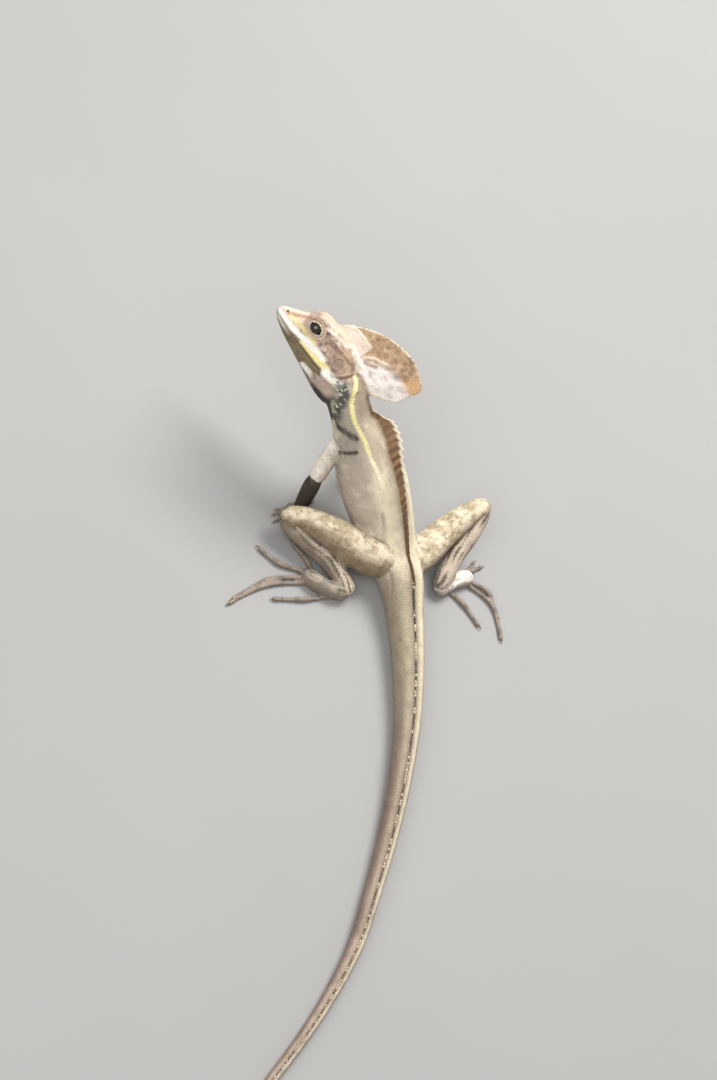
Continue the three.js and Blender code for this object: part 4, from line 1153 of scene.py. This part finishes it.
def planting_tree():
    """Geometry Nodes: a small solid on every point, turned and sized by the point's own attributes."""
    tree = bpy.data.node_groups.new("scales_on_points", "GeometryNodeTree")
    for name, kind in (("Points", "NodeSocketGeometry"), ("Small solid", "NodeSocketObject"),
                       ("Patch size", "NodeSocketFloat"), ("Finish", "NodeSocketMaterial")):
        tree.interface.new_socket(name, in_out="INPUT", socket_type=kind)
    tree.interface.new_socket("Coat", in_out="OUTPUT", socket_type="NodeSocketGeometry")
    given = node(tree, "NodeGroupInput").outputs
    turn, size, root, patch = (
        node(tree, "GeometryNodeInputNamedAttribute", {"Name": name}, data_type="FLOAT_VECTOR").outputs["Attribute"]
        for name in ("turn", "size", "root", "patch"))
    solid = node(tree, "GeometryNodeObjectInfo", {"Object": given["Small solid"]})
    facing = node(tree, "FunctionNodeEulerToRotation", {"Euler": turn})
    grown = node(tree, "GeometryNodeInstanceOnPoints", {
        "Points": given["Points"], "Instance": solid.outputs["Geometry"],
        "Rotation": facing.outputs["Rotation"], "Scale": size})
    real = node(tree, "GeometryNodeRealizeInstances", {"Geometry": grown.outputs["Instances"]})
    spread = node(tree, "ShaderNodeVectorMath", {0: patch, "Scale": given["Patch size"]}, operation="SCALE")
    place = node(tree, "ShaderNodeVectorMath", {0: root, 1: spread.outputs[0]}, operation="ADD")
    mapped = node(tree, "GeometryNodeStoreNamedAttribute", {
        "Geometry": real.outputs[0], "Name": "OFBake", "Value": place.outputs[0]},
        data_type="FLOAT2", domain="CORNER")
    finished = node(tree, "GeometryNodeSetMaterial", {
        "Geometry": mapped.outputs["Geometry"], "Material": given["Finish"]})
    node(tree, "NodeGroupOutput", {"Coat": finished.outputs["Geometry"]})
    return tree


def set_inputs(modifier, tree, values):
    for item in tree.interface.items_tree:
        if item.in_out == "INPUT" and item.name in values:
            modifier[item.identifier] = values[item.name]


def turns_of(normal, along):
    """Euler angles that turn +Z to the normal and +X along the coat."""
    z = unit(normal)
    x = unit(along - z * (along * z).sum(1)[:, None])
    y = np.cross(z, x)
    return np.stack([np.arctan2(y[:, 2], z[:, 2]), -np.arcsin(np.clip(x[:, 2], -1, 1)),
                     np.arctan2(x[:, 1], x[:, 0])], -1)


def planted(name, tree, solid, finish, sites):
    """One piece of the coat: sites hold place, normal, along, size, tone and root of every scale."""
    cloud = new_mesh(name, sites["place"] * MM, [])
    add_attribute(cloud, "turn", "FLOAT_VECTOR", turns_of(sites["normal"], sites["along"]))
    add_attribute(cloud, "size", "FLOAT_VECTOR", sites["size"] * MM)
    add_attribute(cloud, "root", "FLOAT_VECTOR", sites["root"])
    add_attribute(cloud, "tone", "FLOAT_COLOR", sites["tone"])
    thing = linked(name, cloud)
    modifier = thing.modifiers.new("coat", "NODES")
    modifier.node_group = tree
    set_inputs(modifier, tree, {"Small solid": solid, "Patch size": PATCH, "Finish": finish})
    mesh = evaluated(thing)
    for spare in ("turn", "size", "root", "patch"):
        if spare in mesh.attributes:
            mesh.attributes.remove(mesh.attributes[spare])
    mesh.name = name
    return linked(name, mesh)


def painted_piece(name, points, faces, tone, finish):
    """A finished piece in metres, painted point by point, with smooth faces that point outwards."""
    mesh = new_mesh(name, points * MM, faces)
    add_attribute(mesh, "tone", "FLOAT_COLOR", tone)
    add_attribute(mesh, "crown", "FLOAT", np.ones(len(points)))
    return shaded(linked(name, mesh), finish)


class Taken:
    """Places already filled, in cells, so that new ones keep their distance."""

    def __init__(self, cell):
        self.cell, self.cells = cell, {}

    def clear(self, place, radius):
        x, y, z = (int(math.floor(v / self.cell)) for v in place)
        limit = radius * radius
        for i in (x - 1, x, x + 1):
            for j in (y - 1, y, y + 1):
                for k in (z - 1, z, z + 1):
                    for a, b, c in self.cells.get((i, j, k), ()):
                        if (a - place[0]) ** 2 + (b - place[1]) ** 2 + (c - place[2]) ** 2 < limit:
                            return False
        return True

    def add(self, place):
        key = tuple(int(math.floor(v / self.cell)) for v in place)
        self.cells.setdefault(key, []).append(place)


def rows_of_scales(name, rows):
    """Staggered rings of scales along a part, from its thick end: row, turn, length and width of each."""
    u, last = (SKULL_ROW + 0.1, 0.02) if name == "body" else (len(rows) - 2.0, 1.3)
    made = []
    while u > last:
        section = blend(rows, u)[0]
        girth = np.pi * (section[4] + (section[5] + section[6]) / 2)
        along, across = scale_pitch(name, u)
        number = max(6, int(round(girth / across)))
        turn = (np.arange(number) + 0.5 * (len(made) % 2)) * 2 * np.pi / number + np.pi / 2
        made.append(np.stack([np.full(number, u), turn, np.full(number, along), np.full(number, girth / number)], -1))
        u -= along / max(speed_of(rows, u, FINE_STEP)[0], 1.0) * ROW_OVERLAP
    return np.vstack(made)


def scale_pitch(name, u):
    """Length and width of the scales at a place on a part."""
    if name == "body" and u < 13.5:
        return TAIL_PITCH + TAIL_GROWTH * np.clip(u / 12.0, 0, 1)
    return next((pitch for word, pitch in PITCH.items() if word in name), LIMB_PITCH)


def fill_pitch(found, points):
    """Width of the scales that fill what the rows leave free, smallest on the face."""
    back, _, up = head_place(points)
    head = (found["part"] == 0) & (found["u"] > SKULL_ROW - 0.2)
    face = np.hypot((back - EYE["back"]) / 7.5, (up - EYE["up"]) / 6.5) < 1
    size = np.full(len(points), 0.92)
    for chosen, width in ((found["second"] < 0.5, 0.85), (head, 0.78), (head & face, 0.6),
                          (head & (back < 9) & (up > 5), 0.9), (head & (found["above"] > 1.5), 0.72)):
        size[chosen] = width
    return size


def along_of(found):
    """The way that scales point: to the tip of the tail, and down the limbs to the toes."""
    along = np.zeros((len(found["u"]), 3))
    for index, (name, rows) in enumerate(PARTS.items()):
        chosen = found["part"] == index
        if chosen.any():
            forward = frames(rows, found["u"][chosen])[1]
            along[chosen] = -forward if name == "body" else forward
    return along


def coat_sites(skin_mesh, points):
    """Rows of scales laid on the skin, and smaller ones that fill the joins, the head and the casque."""
    rng = np.random.default_rng(SEED)
    tree = BVHTree.FromPolygons(points.tolist(), [tuple(face.vertices) for face in skin_mesh.polygons])
    taken, made = Taken(1.3), []

    def grow(spot, normal, size, room):
        if spot[2] >= FLOOR_CLEAR and taken.clear(spot, room):
            taken.add(spot)
            made.append((*spot, *normal, *size))

    for index, (name, rows) in enumerate(PARTS.items()):
        sites = rows_of_scales(name, rows)
        ideal = on_loft(rows, sites[:, 0], sites[:, 1], -SKIN_INSET)
        found = locate(ideal)
        kept = (found["part"] == index) & (found["second"] > JOIN_REACH)
        for spot, size in zip(ideal[kept], sites[kept, 2:]):
            hit, normal, _, _ = tree.find_nearest(Vector(spot), SKIN_REACH)
            if hit is not None:
                grow(tuple(hit), normal, size, ROW_ROOM * min(size))
    # The rest of the skin, by darts thrown at its faces
    triangles = np.array([t.vertices for t in loop_triangles(skin_mesh)])
    a, b, c = (points[triangles[:, k]] for k in range(3))
    cross = np.cross(b - a, c - a)
    area = np.linalg.norm(cross, axis=1) / 2
    back, _, up = head_place(a)
    likely = area * np.where((back > -2) & (back < 70) & (up > -12), DARTS_HEAD, DARTS_BODY)
    darts = int(likely.sum())
    chosen = rng.choice(len(area), darts, p=likely / likely.sum())
    r, s = rng.random(darts), rng.random(darts)
    flip = r + s > 1
    r, s = np.where(flip, 1 - r, r), np.where(flip, 1 - s, s)
    spots_hit = a[chosen] + r[:, None] * (b - a)[chosen] + s[:, None] * (c - a)[chosen]
    pitch = fill_pitch(locate_cheaply(spots_hit), spots_hit)
    shut = ~eye_opening(spots_hit)
    for spot, normal, wide in zip(spots_hit[shut].tolist(), unit(cross)[chosen][shut].tolist(), pitch[shut].tolist()):
        grow(tuple(spot), normal, (wide, wide), DART_ROOM * wide)
    made = np.array(made)
    return made[:, :3], made[:, 3:6], made[:, 6:]


def loop_triangles(mesh):
    mesh.calc_loop_triangles()
    return mesh.loop_triangles


def locate_cheaply(points):
    """Where many points lie, found on a thinned set: each takes the answer of its own cell."""
    cell = np.floor(points / 1.5).astype(int)
    _, first, back = np.unique(cell, axis=0, return_index=True, return_inverse=True)
    found = locate(points[first])
    return {name: values[back.ravel()] for name, values in found.items()}


def eye_opening(points):
    """Whether points lie in the opening of an eye, where no scale grows."""
    back, left, up = head_place(points)
    return (lid_reach(back, up, 0) < 0.98) & (np.abs(left) > 3) & (back < 30)


def root_places(found, names):
    """Each scale's place on an unwrap of the skin: a band for every part, along it and round it."""
    bands = {name: k for k, name in enumerate(names)}
    band = np.array([bands.get(PART_NAMES[k], 0) for k in found["part"]])
    longest = np.array([len(PARTS[PART_NAMES[k]]) - 1 for k in found["part"]])
    along = 0.01 + 0.98 * found["u"] / longest
    turn = found["angle"] / (2 * np.pi) % 1
    return np.stack([along, (band + 0.02 + 0.96 * turn) / len(names), 0 * along], -1)


def coat_piece_names(found, points):
    """The piece of the coat that each scale belongs to."""
    name = np.array(PART_NAMES)[found["part"]]
    _, _, up = head_place(points)
    u, body = found["u"], name == "body"
    piece = np.full(len(name), "scales_trunk", dtype=object)
    piece[body & (u < 8.5)] = "scales_tail_end"
    piece[body & (u >= 8.5) & (u < 13)] = "scales_tail_root"
    piece[body & (u >= 16.2)] = "scales_neck"
    head = body & (u > SKULL_ROW)
    piece[head] = "scales_head"
    piece[head & (found["above"] > 1.2) & (up > 8)] = "scales_casque"
    leg = named(name, "thigh") | named(name, "shin")
    for side in ("left", "right"):
        piece[named(name, side) & leg] = f"scales_leg_{side}"
        piece[named(name, side) & ~leg] = f"scales_feet_{side}"
    return piece


COAT_SLOTS = {
    "scales_trunk": "hide", "scales_neck": "hide", "scales_tail_end": "tail", "scales_tail_root": "tail",
    "scales_head": "casque", "scales_casque": "casque", "scales_leg_left": "leg", "scales_leg_right": "leg",
    "scales_feet_left": "foot", "scales_feet_right": "foot",
}


def make_coat(skin_mesh, points, tree, finish):
    """All scales of the hide, in one piece for each region."""
    places, normals, sizes = coat_sites(skin_mesh, points)
    count, found = len(places), locate(places)
    rng = np.random.default_rng(SEED + 1)
    jitter = 1 + 0.08 * rng.standard_normal((count, 1))
    along = along_of(found) + 0.05 * rng.standard_normal((count, 3))
    on_face = (found["part"] == 0) & (found["u"] > SKULL_ROW)
    uneven, grown, raised = (np.where(on_face, face, hide) for face, hide in ((0.02, 0.04), (1.1, 1.0), (0.22, 0.6)))
    tone = paint(places, found) * (1 + uneven[:, None] * rng.standard_normal((count, 1)))
    sizes = sizes * grown[:, None]
    high = raised * np.minimum(sizes[:, 0], sizes[:, 1])
    size = np.column_stack([sizes[:, 0] * 1.12, sizes[:, 1] * 1.08, high]) * jitter
    pieces = coat_piece_names(found, places)
    solid = small_solid("scale", 0.47, [(-0.16, 0, 0.13), (0.24, 0, 0.2)], -0.22, 0.0)
    made = []
    for name in COAT_SLOTS:
        chosen = pieces == name
        part = {key: values[chosen] for key, values in found.items()}
        names = sorted({PART_NAMES[k] for k in part["part"]})
        sites = {"place": places[chosen], "normal": normals[chosen], "along": along[chosen], "size": size[chosen],
                 "tone": np.clip(tone[chosen], 0.002, 1), "root": root_places(part, names)}
        made.append(planted(name, tree, solid, finish, sites))
        print(name, int(chosen.sum()), "scales,", len(loop_triangles(made[-1].data)), "triangles")
    bpy.data.objects.remove(solid)
    return made


# Crest of the back

def crest_height(u):
    """Height of the crest: a quick rise behind the neck and a long fall to the pelvis."""
    behind = NECK_ROW + 0.08 - u
    rise = np.minimum(1, np.maximum(behind, 0) / 0.38) ** 0.7
    fall = np.exp(-((np.maximum(0, behind - 1.1) / 1.6) ** 0.9))
    return CREST_TALL * rise * np.maximum(0.22, fall)


def make_crest(finish):
    """A thin web of skin with raised rays, slanted to the head, and a wave of its edge at each ray."""
    count = CREST_RAYS * RAY_COLUMNS + 1
    u = np.linspace(NECK_ROW + 0.06, TAIL_BASE + 0.1, count)
    rng = np.random.default_rng(SEED + 3)
    levels = np.linspace(0, 1, CREST_LEVELS)
    phase = np.arange(count)[:, None] / RAY_COLUMNS + RAY_SLANT * (levels[None] - 1)
    wave = 0.5 - 0.5 * np.cos(2 * np.pi * phase)
    _, forward, right, up = frames(BODY, u)
    top = on_loft(BODY, u, spine_turn(u))
    height = np.maximum(0.4, crest_height(u) * (0.93 + 0.11 * wave[:, -1] ** 2) - 0.1)
    foot = top - up * CREST_SUNK
    edge = top + up * height[:, None] - forward * (height * CREST_LEAN)[:, None]
    level = levels[None, :, None]
    place = foot[:, None] * (1 - level) + edge[:, None] * level
    half = (0.16 + 0.3 * wave ** 3) * (1 - 0.6 * levels[None]) + 0.45 * (1 - levels[None]) ** 4
    points, faces = vane_form(*(place + sign * half[..., None] * right[:, None] for sign in (1, -1)))
    share = np.broadcast_to(levels, phase.shape)
    ray = np.clip(np.round(phase).astype(int), -3, CREST_RAYS) + 3
    warm, deep = rng.random(CREST_RAYS + 4)[ray], rng.random(CREST_RAYS + 4)[ray]
    cells = clouds(place.reshape(-1, 3), 1.8, 81).reshape(share.shape)
    tall = (height / CREST_TALL)[:, None]
    tone = layered(
        plain("crest", place),
        ("crest_dark", smooth(0.35, 1.0, (1 - wave) * (0.3 + 0.9 * deep) + 0.5 * cells) * 0.8),
        ("crest_ray", wave ** 3 * smooth(0.3, 1.0, warm + 0.4 * cells) * 0.85),
        ("back", smooth(0.3, 0.1, share + 0.1 * cells) * 0.85),
        ("crest_dark", fade(0.25, 0.5, tall) * smooth(0.2, 0.4, share) * 0.6),
        ("crest_edge", smooth(0.8, 0.9, share + 0.05 * cells) * smooth(0.2, 0.5, tall)),
    )
    return painted_piece("back_crest_web", points, faces, np.vstack([tone.reshape(-1, 3)] * 2), finish)


def shaded(thing, finish):
    for face in thing.data.polygons:
        face.use_smooth = True
    thing.data.materials.clear()
    thing.data.materials.append(finish)
    outward(thing.data)
    return thing


def outward(mesh):
    """Turns a closed mesh's faces outwards."""
    work = bmesh.new()
    work.from_mesh(mesh)
    bmesh.ops.recalc_face_normals(work, faces=work.faces)
    work.to_mesh(mesh)
    work.free()


# Ridge of the tail

def ridge_sites():
    """Row and size of every scale of the ridge, closer together and smaller to the tip of the tail."""
    u, made = TAIL_BASE + 0.35, []
    while u > 0.6:
        scale = 1 - 0.62 * (1 - np.clip(u / TAIL_BASE, 0, 1))
        made.append((u, scale))
        u -= 1.75 * (0.6 + 0.4 * scale) / speed_of(BODY, u, FINE_STEP)[0]
    return np.array(made)


def make_ridge(tree, finish):
    """Keeled scales along the ridge of the tail, dark and pale by turns; the dark ones are painted shade, standing
    for the shadow line along the ridge.
    """
    u, scale = ridge_sites().T
    _, forward, right, up = frames(BODY, u)
    turn = spine_turn(u)
    away = unit(up * np.sin(turn)[:, None] + right * np.cos(turn)[:, None])
    place = on_loft(BODY, u, turn, -SKIN_INSET - 0.1)
    solid = small_solid("ridge_scale", 0.44, [(-0.1, 0, 0.62), (0.5, 0, 1.0)], -0.2, 0.05)
    rng = np.random.default_rng(SEED + 2)
    # the dark ridge scales are painted shade, standing for the shadow line along the ridge
    dark = smooth(-0.2, 0.1, noise(place, 1.6, 91))[:, None]
    tone = TONE["crease_shade"] * dark + TONE["stripe_pale"] * 0.8 * (1 - dark)
    size = np.column_stack([2.3 * scale, 1.0 * scale, 1.25 * scale])
    size = size * (1 + 0.08 * rng.standard_normal((len(scale), 1)))
    found = {"part": np.zeros(len(scale), int), "u": u, "angle": np.full(len(scale), np.pi / 2)}
    sites = {"place": place, "normal": away, "along": -forward, "size": size, "tone": tone,
             "root": root_places(found, ["body"])}
    piece = planted("tail_ridge", tree, solid, finish, sites)
    bpy.data.objects.remove(solid)
    return piece


# Eyes, ears and claws

def make_eye(side, word, finish):
    """A ball with a swollen clear front, turned outwards, with iris and pupil painted round its axis."""
    turn, lift = np.meshgrid(np.linspace(0, 2 * np.pi, 48, endpoint=False), np.linspace(0, np.pi, 33)[1:-1])
    radius = (EYE["radius"] - 0.08) * (1 + 0.03 * bell(lift, 0, 0.55))
    x, y, z = radius * np.sin(lift) * np.cos(turn), radius * np.cos(lift), radius * np.sin(lift) * np.sin(turn)
    points, faces = tube_form(on_head(EYE["back"] + x, side * (EYE["out"] + y), EYE["up"] + z))
    middle = on_head(EYE["back"], side * EYE["out"], EYE["up"])
    off = np.arccos(np.clip(unit(points - middle) @ (HEAD_LEFT * side), -1, 1))
    tone = layered(plain("eye", points), ("iris_edge", fade(0.5, 0.62, off)), ("iris", bell(off, 0.34, 0.04) * 0.6),
                   ("pupil", fade(0.28, 0.33, off)))
    return painted_piece(f"eyeball_{word}", points, faces, tone, finish)


def make_ear(side, word, finish):
    """Eardrum: a shallow dish of thin skin in the ear opening."""
    turn, share = np.meshgrid(np.linspace(0, 2 * np.pi, 40, endpoint=False), np.linspace(0, 1, 9)[1:])
    radius = (EAR["radius"] - 0.1) * share
    out = EAR["out"] - 0.42 + 0.3 * (share ** 2)
    front, rear = (on_head(EAR["back"] + radius * np.cos(turn), side * (out - thick),
                           EAR["up"] + 1.08 * radius * np.sin(turn)) for thick in (0.0, 0.3))
    points, faces = tube_form(np.concatenate([front, rear[::-1]]))
    tone = layered(plain("ear", points), ("cheek", smooth(-0.3, 0.4, clouds(points, 1.4, 95))))
    return painted_piece(f"eardrum_{word}", points, faces, tone, finish)


def make_claws(side, finish):
    """Hooked claws of horn at the ends of the toes and fingers of one side."""
    shell, shares = Shell(), []
    t = np.linspace(0, 1, 10)
    ahead_of_tip = -0.3 + CLAW_LONG * t
    for paw in (paw for name, paw in PAWS.items() if side in name):
        for places in paw["digits"]:
            rows = digit_rows(places, paw["radius"])
            tip, before = rows[-2, :3], rows[-3, :3]
            ahead = unit((tip - before) * np.array([1, 1, 0]))
            lift = tip[2] + 0.15 + 0.55 * np.sin(t * 2.2) - (tip[2] + 0.35) * t ** 2
            radius = paw["radius"] * 0.4 * (1 - t) ** 0.7 + 0.07
            z = np.maximum(lift, radius + FLOOR_GAP)
            line = [(tip[0] + ahead[0] * f, tip[1] + ahead[1] * f, h, 0, r * 0.7, r, r, 1)
                    for f, h, r in zip(ahead_of_tip, z, radius)]
            points, faces = loft_form(np.array(line), 2, 10)
            shell.add(points, faces)
            shares.append(((points - tip) @ ahead) / 3.2)
    points, share = np.vstack(shell.points), np.concatenate(shares)
    tone = layered(plain("horn", points), ("horn_dark", smooth(0.0, 0.4, share)),
                   ("horn_tip", smooth(0.55, 1.0, share)))
    return painted_piece(f"claws_{side}", points, shell.faces, tone, finish)


# Materials

GRAIN, CLOUD = 0.5, 6  # size of the fine and the broad variation of the hide


def material(name):
    made = bpy.data.materials.new(name)
    made.use_nodes = True
    tree = made.node_tree
    tree.nodes.clear()
    return made, tree


def keratin_hide():
    """Scaly hide of keratin over skin: dull, darker at each scale's sunk rim and on the skin between the scales, as
    painted shade.
    """
    made, tree = material("keratin_hide")
    place = node(tree, "ShaderNodeTexCoord").outputs["Object"]
    tone = node(tree, "ShaderNodeAttribute", attribute_name="tone").outputs["Color"]
    crown = node(tree, "ShaderNodeAttribute", attribute_name="crown").outputs["Fac"]
    grain = node(tree, "ShaderNodeTexNoise", {
        "Vector": place, "Scale": 1 / (GRAIN * MM), "Detail": 3.0, "Roughness": 0.6}).outputs["Fac"]
    cloud = node(tree, "ShaderNodeTexNoise", {
        "Vector": place, "Scale": 1 / (CLOUD * MM), "Detail": 2.0}).outputs["Fac"]
    # the crown attribute darkens each scale towards its rim: painted shade in the grooves between the scales
    varied, clouded, edge, rough = (
        node(tree, "ShaderNodeMapRange", {
            "Value": value, "From Min": a, "From Max": b, "To Min": c, "To Max": d}).outputs[0]
        for value, a, b, c, d in ((grain, 0.3, 0.7, 0.93, 1.06), (cloud, 0.3, 0.7, 0.92, 1.07),
                                  (crown, 0.25, 0.8, 0.8, 1.0), (grain, 0.3, 0.7, 0.5, 0.72)))
    first = node(tree, "ShaderNodeMath", {0: varied, 1: clouded}, operation="MULTIPLY")
    second = node(tree, "ShaderNodeMath", {0: first.outputs[0], 1: edge}, operation="MULTIPLY")
    final = node(tree, "ShaderNodeVectorMath", {0: tone, "Scale": second.outputs[0]}, operation="SCALE")
    bump = node(tree, "ShaderNodeBump", {"Height": grain, "Strength": 0.15, "Distance": 0.08 * MM})
    surface = node(tree, "ShaderNodeBsdfPrincipled", {
        "Base Color": final.outputs[0], "Roughness": rough, "Normal": bump.outputs["Normal"],
        "Specular IOR Level": 0.35, "IOR": 1.5})
    node(tree, "ShaderNodeOutputMaterial", {"Surface": surface.outputs[0]})
    return made


def flecked(name, size, detail, dark, light, finish):
    """A smooth material in its painted tone, darker and lighter by flecks of a size in millimetres."""
    made, tree = material(name)
    place = node(tree, "ShaderNodeTexCoord").outputs["Object"]
    tone = node(tree, "ShaderNodeAttribute", attribute_name="tone").outputs["Color"]
    fleck = node(tree, "ShaderNodeTexNoise", {"Vector": place, "Scale": 1 / (size * MM), "Detail": detail})
    varied = node(tree, "ShaderNodeMapRange", {"Value": fleck.outputs["Fac"], "To Min": dark, "To Max": light})
    colour = node(tree, "ShaderNodeVectorMath", {0: tone, "Scale": varied.outputs[0]}, operation="SCALE")
    surface = node(tree, "ShaderNodeBsdfPrincipled", {"Base Color": colour.outputs[0], **finish})
    node(tree, "ShaderNodeOutputMaterial", {"Surface": surface.outputs[0]})
    return made


def wet_cornea():
    """Eye under a wet clear front: sharp highlights over a dark iris."""
    return flecked("wet_cornea", 0.4, 4.0, 0.6, 1.4, {
        "Roughness": 0.12, "IOR": 1.38, "Coat Weight": 1.0, "Coat Roughness": 0.03})


def claw_horn():
    """Horn of the claws: smooth keratin with fine flecks."""
    return flecked("claw_horn", 0.6, 3.0, 0.75, 1.25, {"Roughness": 0.55, "Specular IOR Level": 0.3})


def painted_board():
    """Matt painted board of the floor, pale and a little uneven."""
    made, tree = material("painted_board")
    place = node(tree, "ShaderNodeTexCoord").outputs["Object"]
    cloud = node(tree, "ShaderNodeTexNoise", {"Vector": place, "Scale": 6.0, "Detail": 4.0})
    ramp = node(tree, "ShaderNodeMapRange", {
        "Value": cloud.outputs["Fac"], "To Min": 0.31, "To Max": 0.345}).outputs[0]
    colour = node(tree, "ShaderNodeCombineColor", {0: ramp, 1: ramp, 2: ramp})
    surface = node(tree, "ShaderNodeBsdfPrincipled", {"Base Color": colour.outputs[0], "Roughness": 0.85})
    node(tree, "ShaderNodeOutputMaterial", {"Surface": surface.outputs[0]})
    return made


# Stage, light and camera

CAMERA_AZIMUTH, CAMERA_ELEVATION = np.radians([-40.0, 47.0])
CAMERA_TARGET = np.array([-16.5, 6.2, 7.5])
CAMERA_DISTANCE = 2200.0
FRAME_HEIGHT = 489.2  # millimetres seen from top to bottom of the picture at the target
FLOOR_HALF = 3.0

# Soft lamps: name, place, side and watts, and colour. These and the floor are in metres
LAMPS = [("key", (0.3, 0.7, 1.15), 0.7, 24.0, (1.0, 0.975, 0.945)),
         ("fill", (-0.95, -0.85, 1.2), 1.3, 21.0, (1.0, 0.98, 0.955))]


def make_stage():
    """Pale floor, two soft lamps, an even sky and the camera of the photograph."""
    corners = [(x * FLOOR_HALF, y * FLOOR_HALF, 0) for x, y in ((-1, -1), (1, -1), (1, 1), (-1, 1))]
    floor = linked("floor", new_mesh("floor", corners, [[0, 1, 2, 3]]))
    floor.data.materials.append(painted_board())
    backward = np.array([math.sin(CAMERA_AZIMUTH) * math.cos(CAMERA_ELEVATION),
                         -math.cos(CAMERA_AZIMUTH) * math.cos(CAMERA_ELEVATION), math.sin(CAMERA_ELEVATION)])
    upward = unit(np.array([0.0, 1.0, 0.0]) - backward * backward[1])
    rightward = np.cross(upward, backward)
    data = bpy.data.cameras.new("camera")
    data.lens = data.sensor_width * CAMERA_DISTANCE / FRAME_HEIGHT
    data.clip_start, data.clip_end = 0.1, 20.0
    camera = linked("camera", data)
    place = (CAMERA_TARGET + backward * CAMERA_DISTANCE) * MM
    turn = Matrix([[rightward[k], upward[k], backward[k]] for k in range(3)])
    camera.matrix_world = Matrix.Translation(Vector(place)) @ turn.to_4x4()
    bpy.context.scene.camera = camera
    for name, place, size, watts, colour in LAMPS:
        data = bpy.data.lights.new(name, "AREA")
        data.size, data.energy, data.color = size, watts, colour
        lamp = linked(name, data)
        lamp.location = place
        lamp.rotation_euler = (-Vector(place)).to_track_quat("-Z", "Y").to_euler()
    world = bpy.data.worlds.new("studio")
    world.use_nodes = True
    sky = world.node_tree.nodes["Background"].inputs
    sky["Color"].default_value = (0.86, 0.86, 0.85, 1)
    sky["Strength"].default_value = 0.5
    bpy.context.scene.world = world
    bpy.context.scene.view_settings.view_transform = "Standard"


# Assembly

def assemble():
    make_stage()
    hide = keratin_hide()
    horn, cornea = claw_horn(), wet_cornea()
    mesh, points = make_skin()
    tone = paint(points, locate(points))
    add_attribute(mesh, "tone", "FLOAT_COLOR", tone * SKIN_SHADE)
    add_attribute(mesh, "crown", "FLOAT", np.ones(len(points)))
    skin = shaded(linked("skin", mesh), hide)
    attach(skin, "root")
    lengths = [f"tail_{k}" for k in range(1, 6)] + ["hips", "belly", "chest", "neck", "head", "casque", "lower_jaw"]
    limbs = [f"{part}_{side}" for part in ("thigh", "shin", "foot", "upper_arm", "forearm", "hand")
             for side in ("left", "right")]
    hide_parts(*lengths, *limbs)
    tree = planting_tree()
    for piece in make_coat(mesh, points, tree, hide):
        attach(piece, "root")
    ridge = make_ridge(tree, hide)
    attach(ridge, "root")
    crest = make_crest(hide)
    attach(crest, "root")
    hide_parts("back_crest")
    for side, word in ((1, "left"), (-1, "right")):
        eye, ear, claws = make_eye(side, word, cornea), make_ear(side, word, hide), make_claws(word, horn)
        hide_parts(f"eye_{word}")
        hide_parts(f"ear_{word}")
        for piece, slot in ((eye, "eye"), (ear, "ear"), (claws, "foot")):
            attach(piece, "root")


assemble()
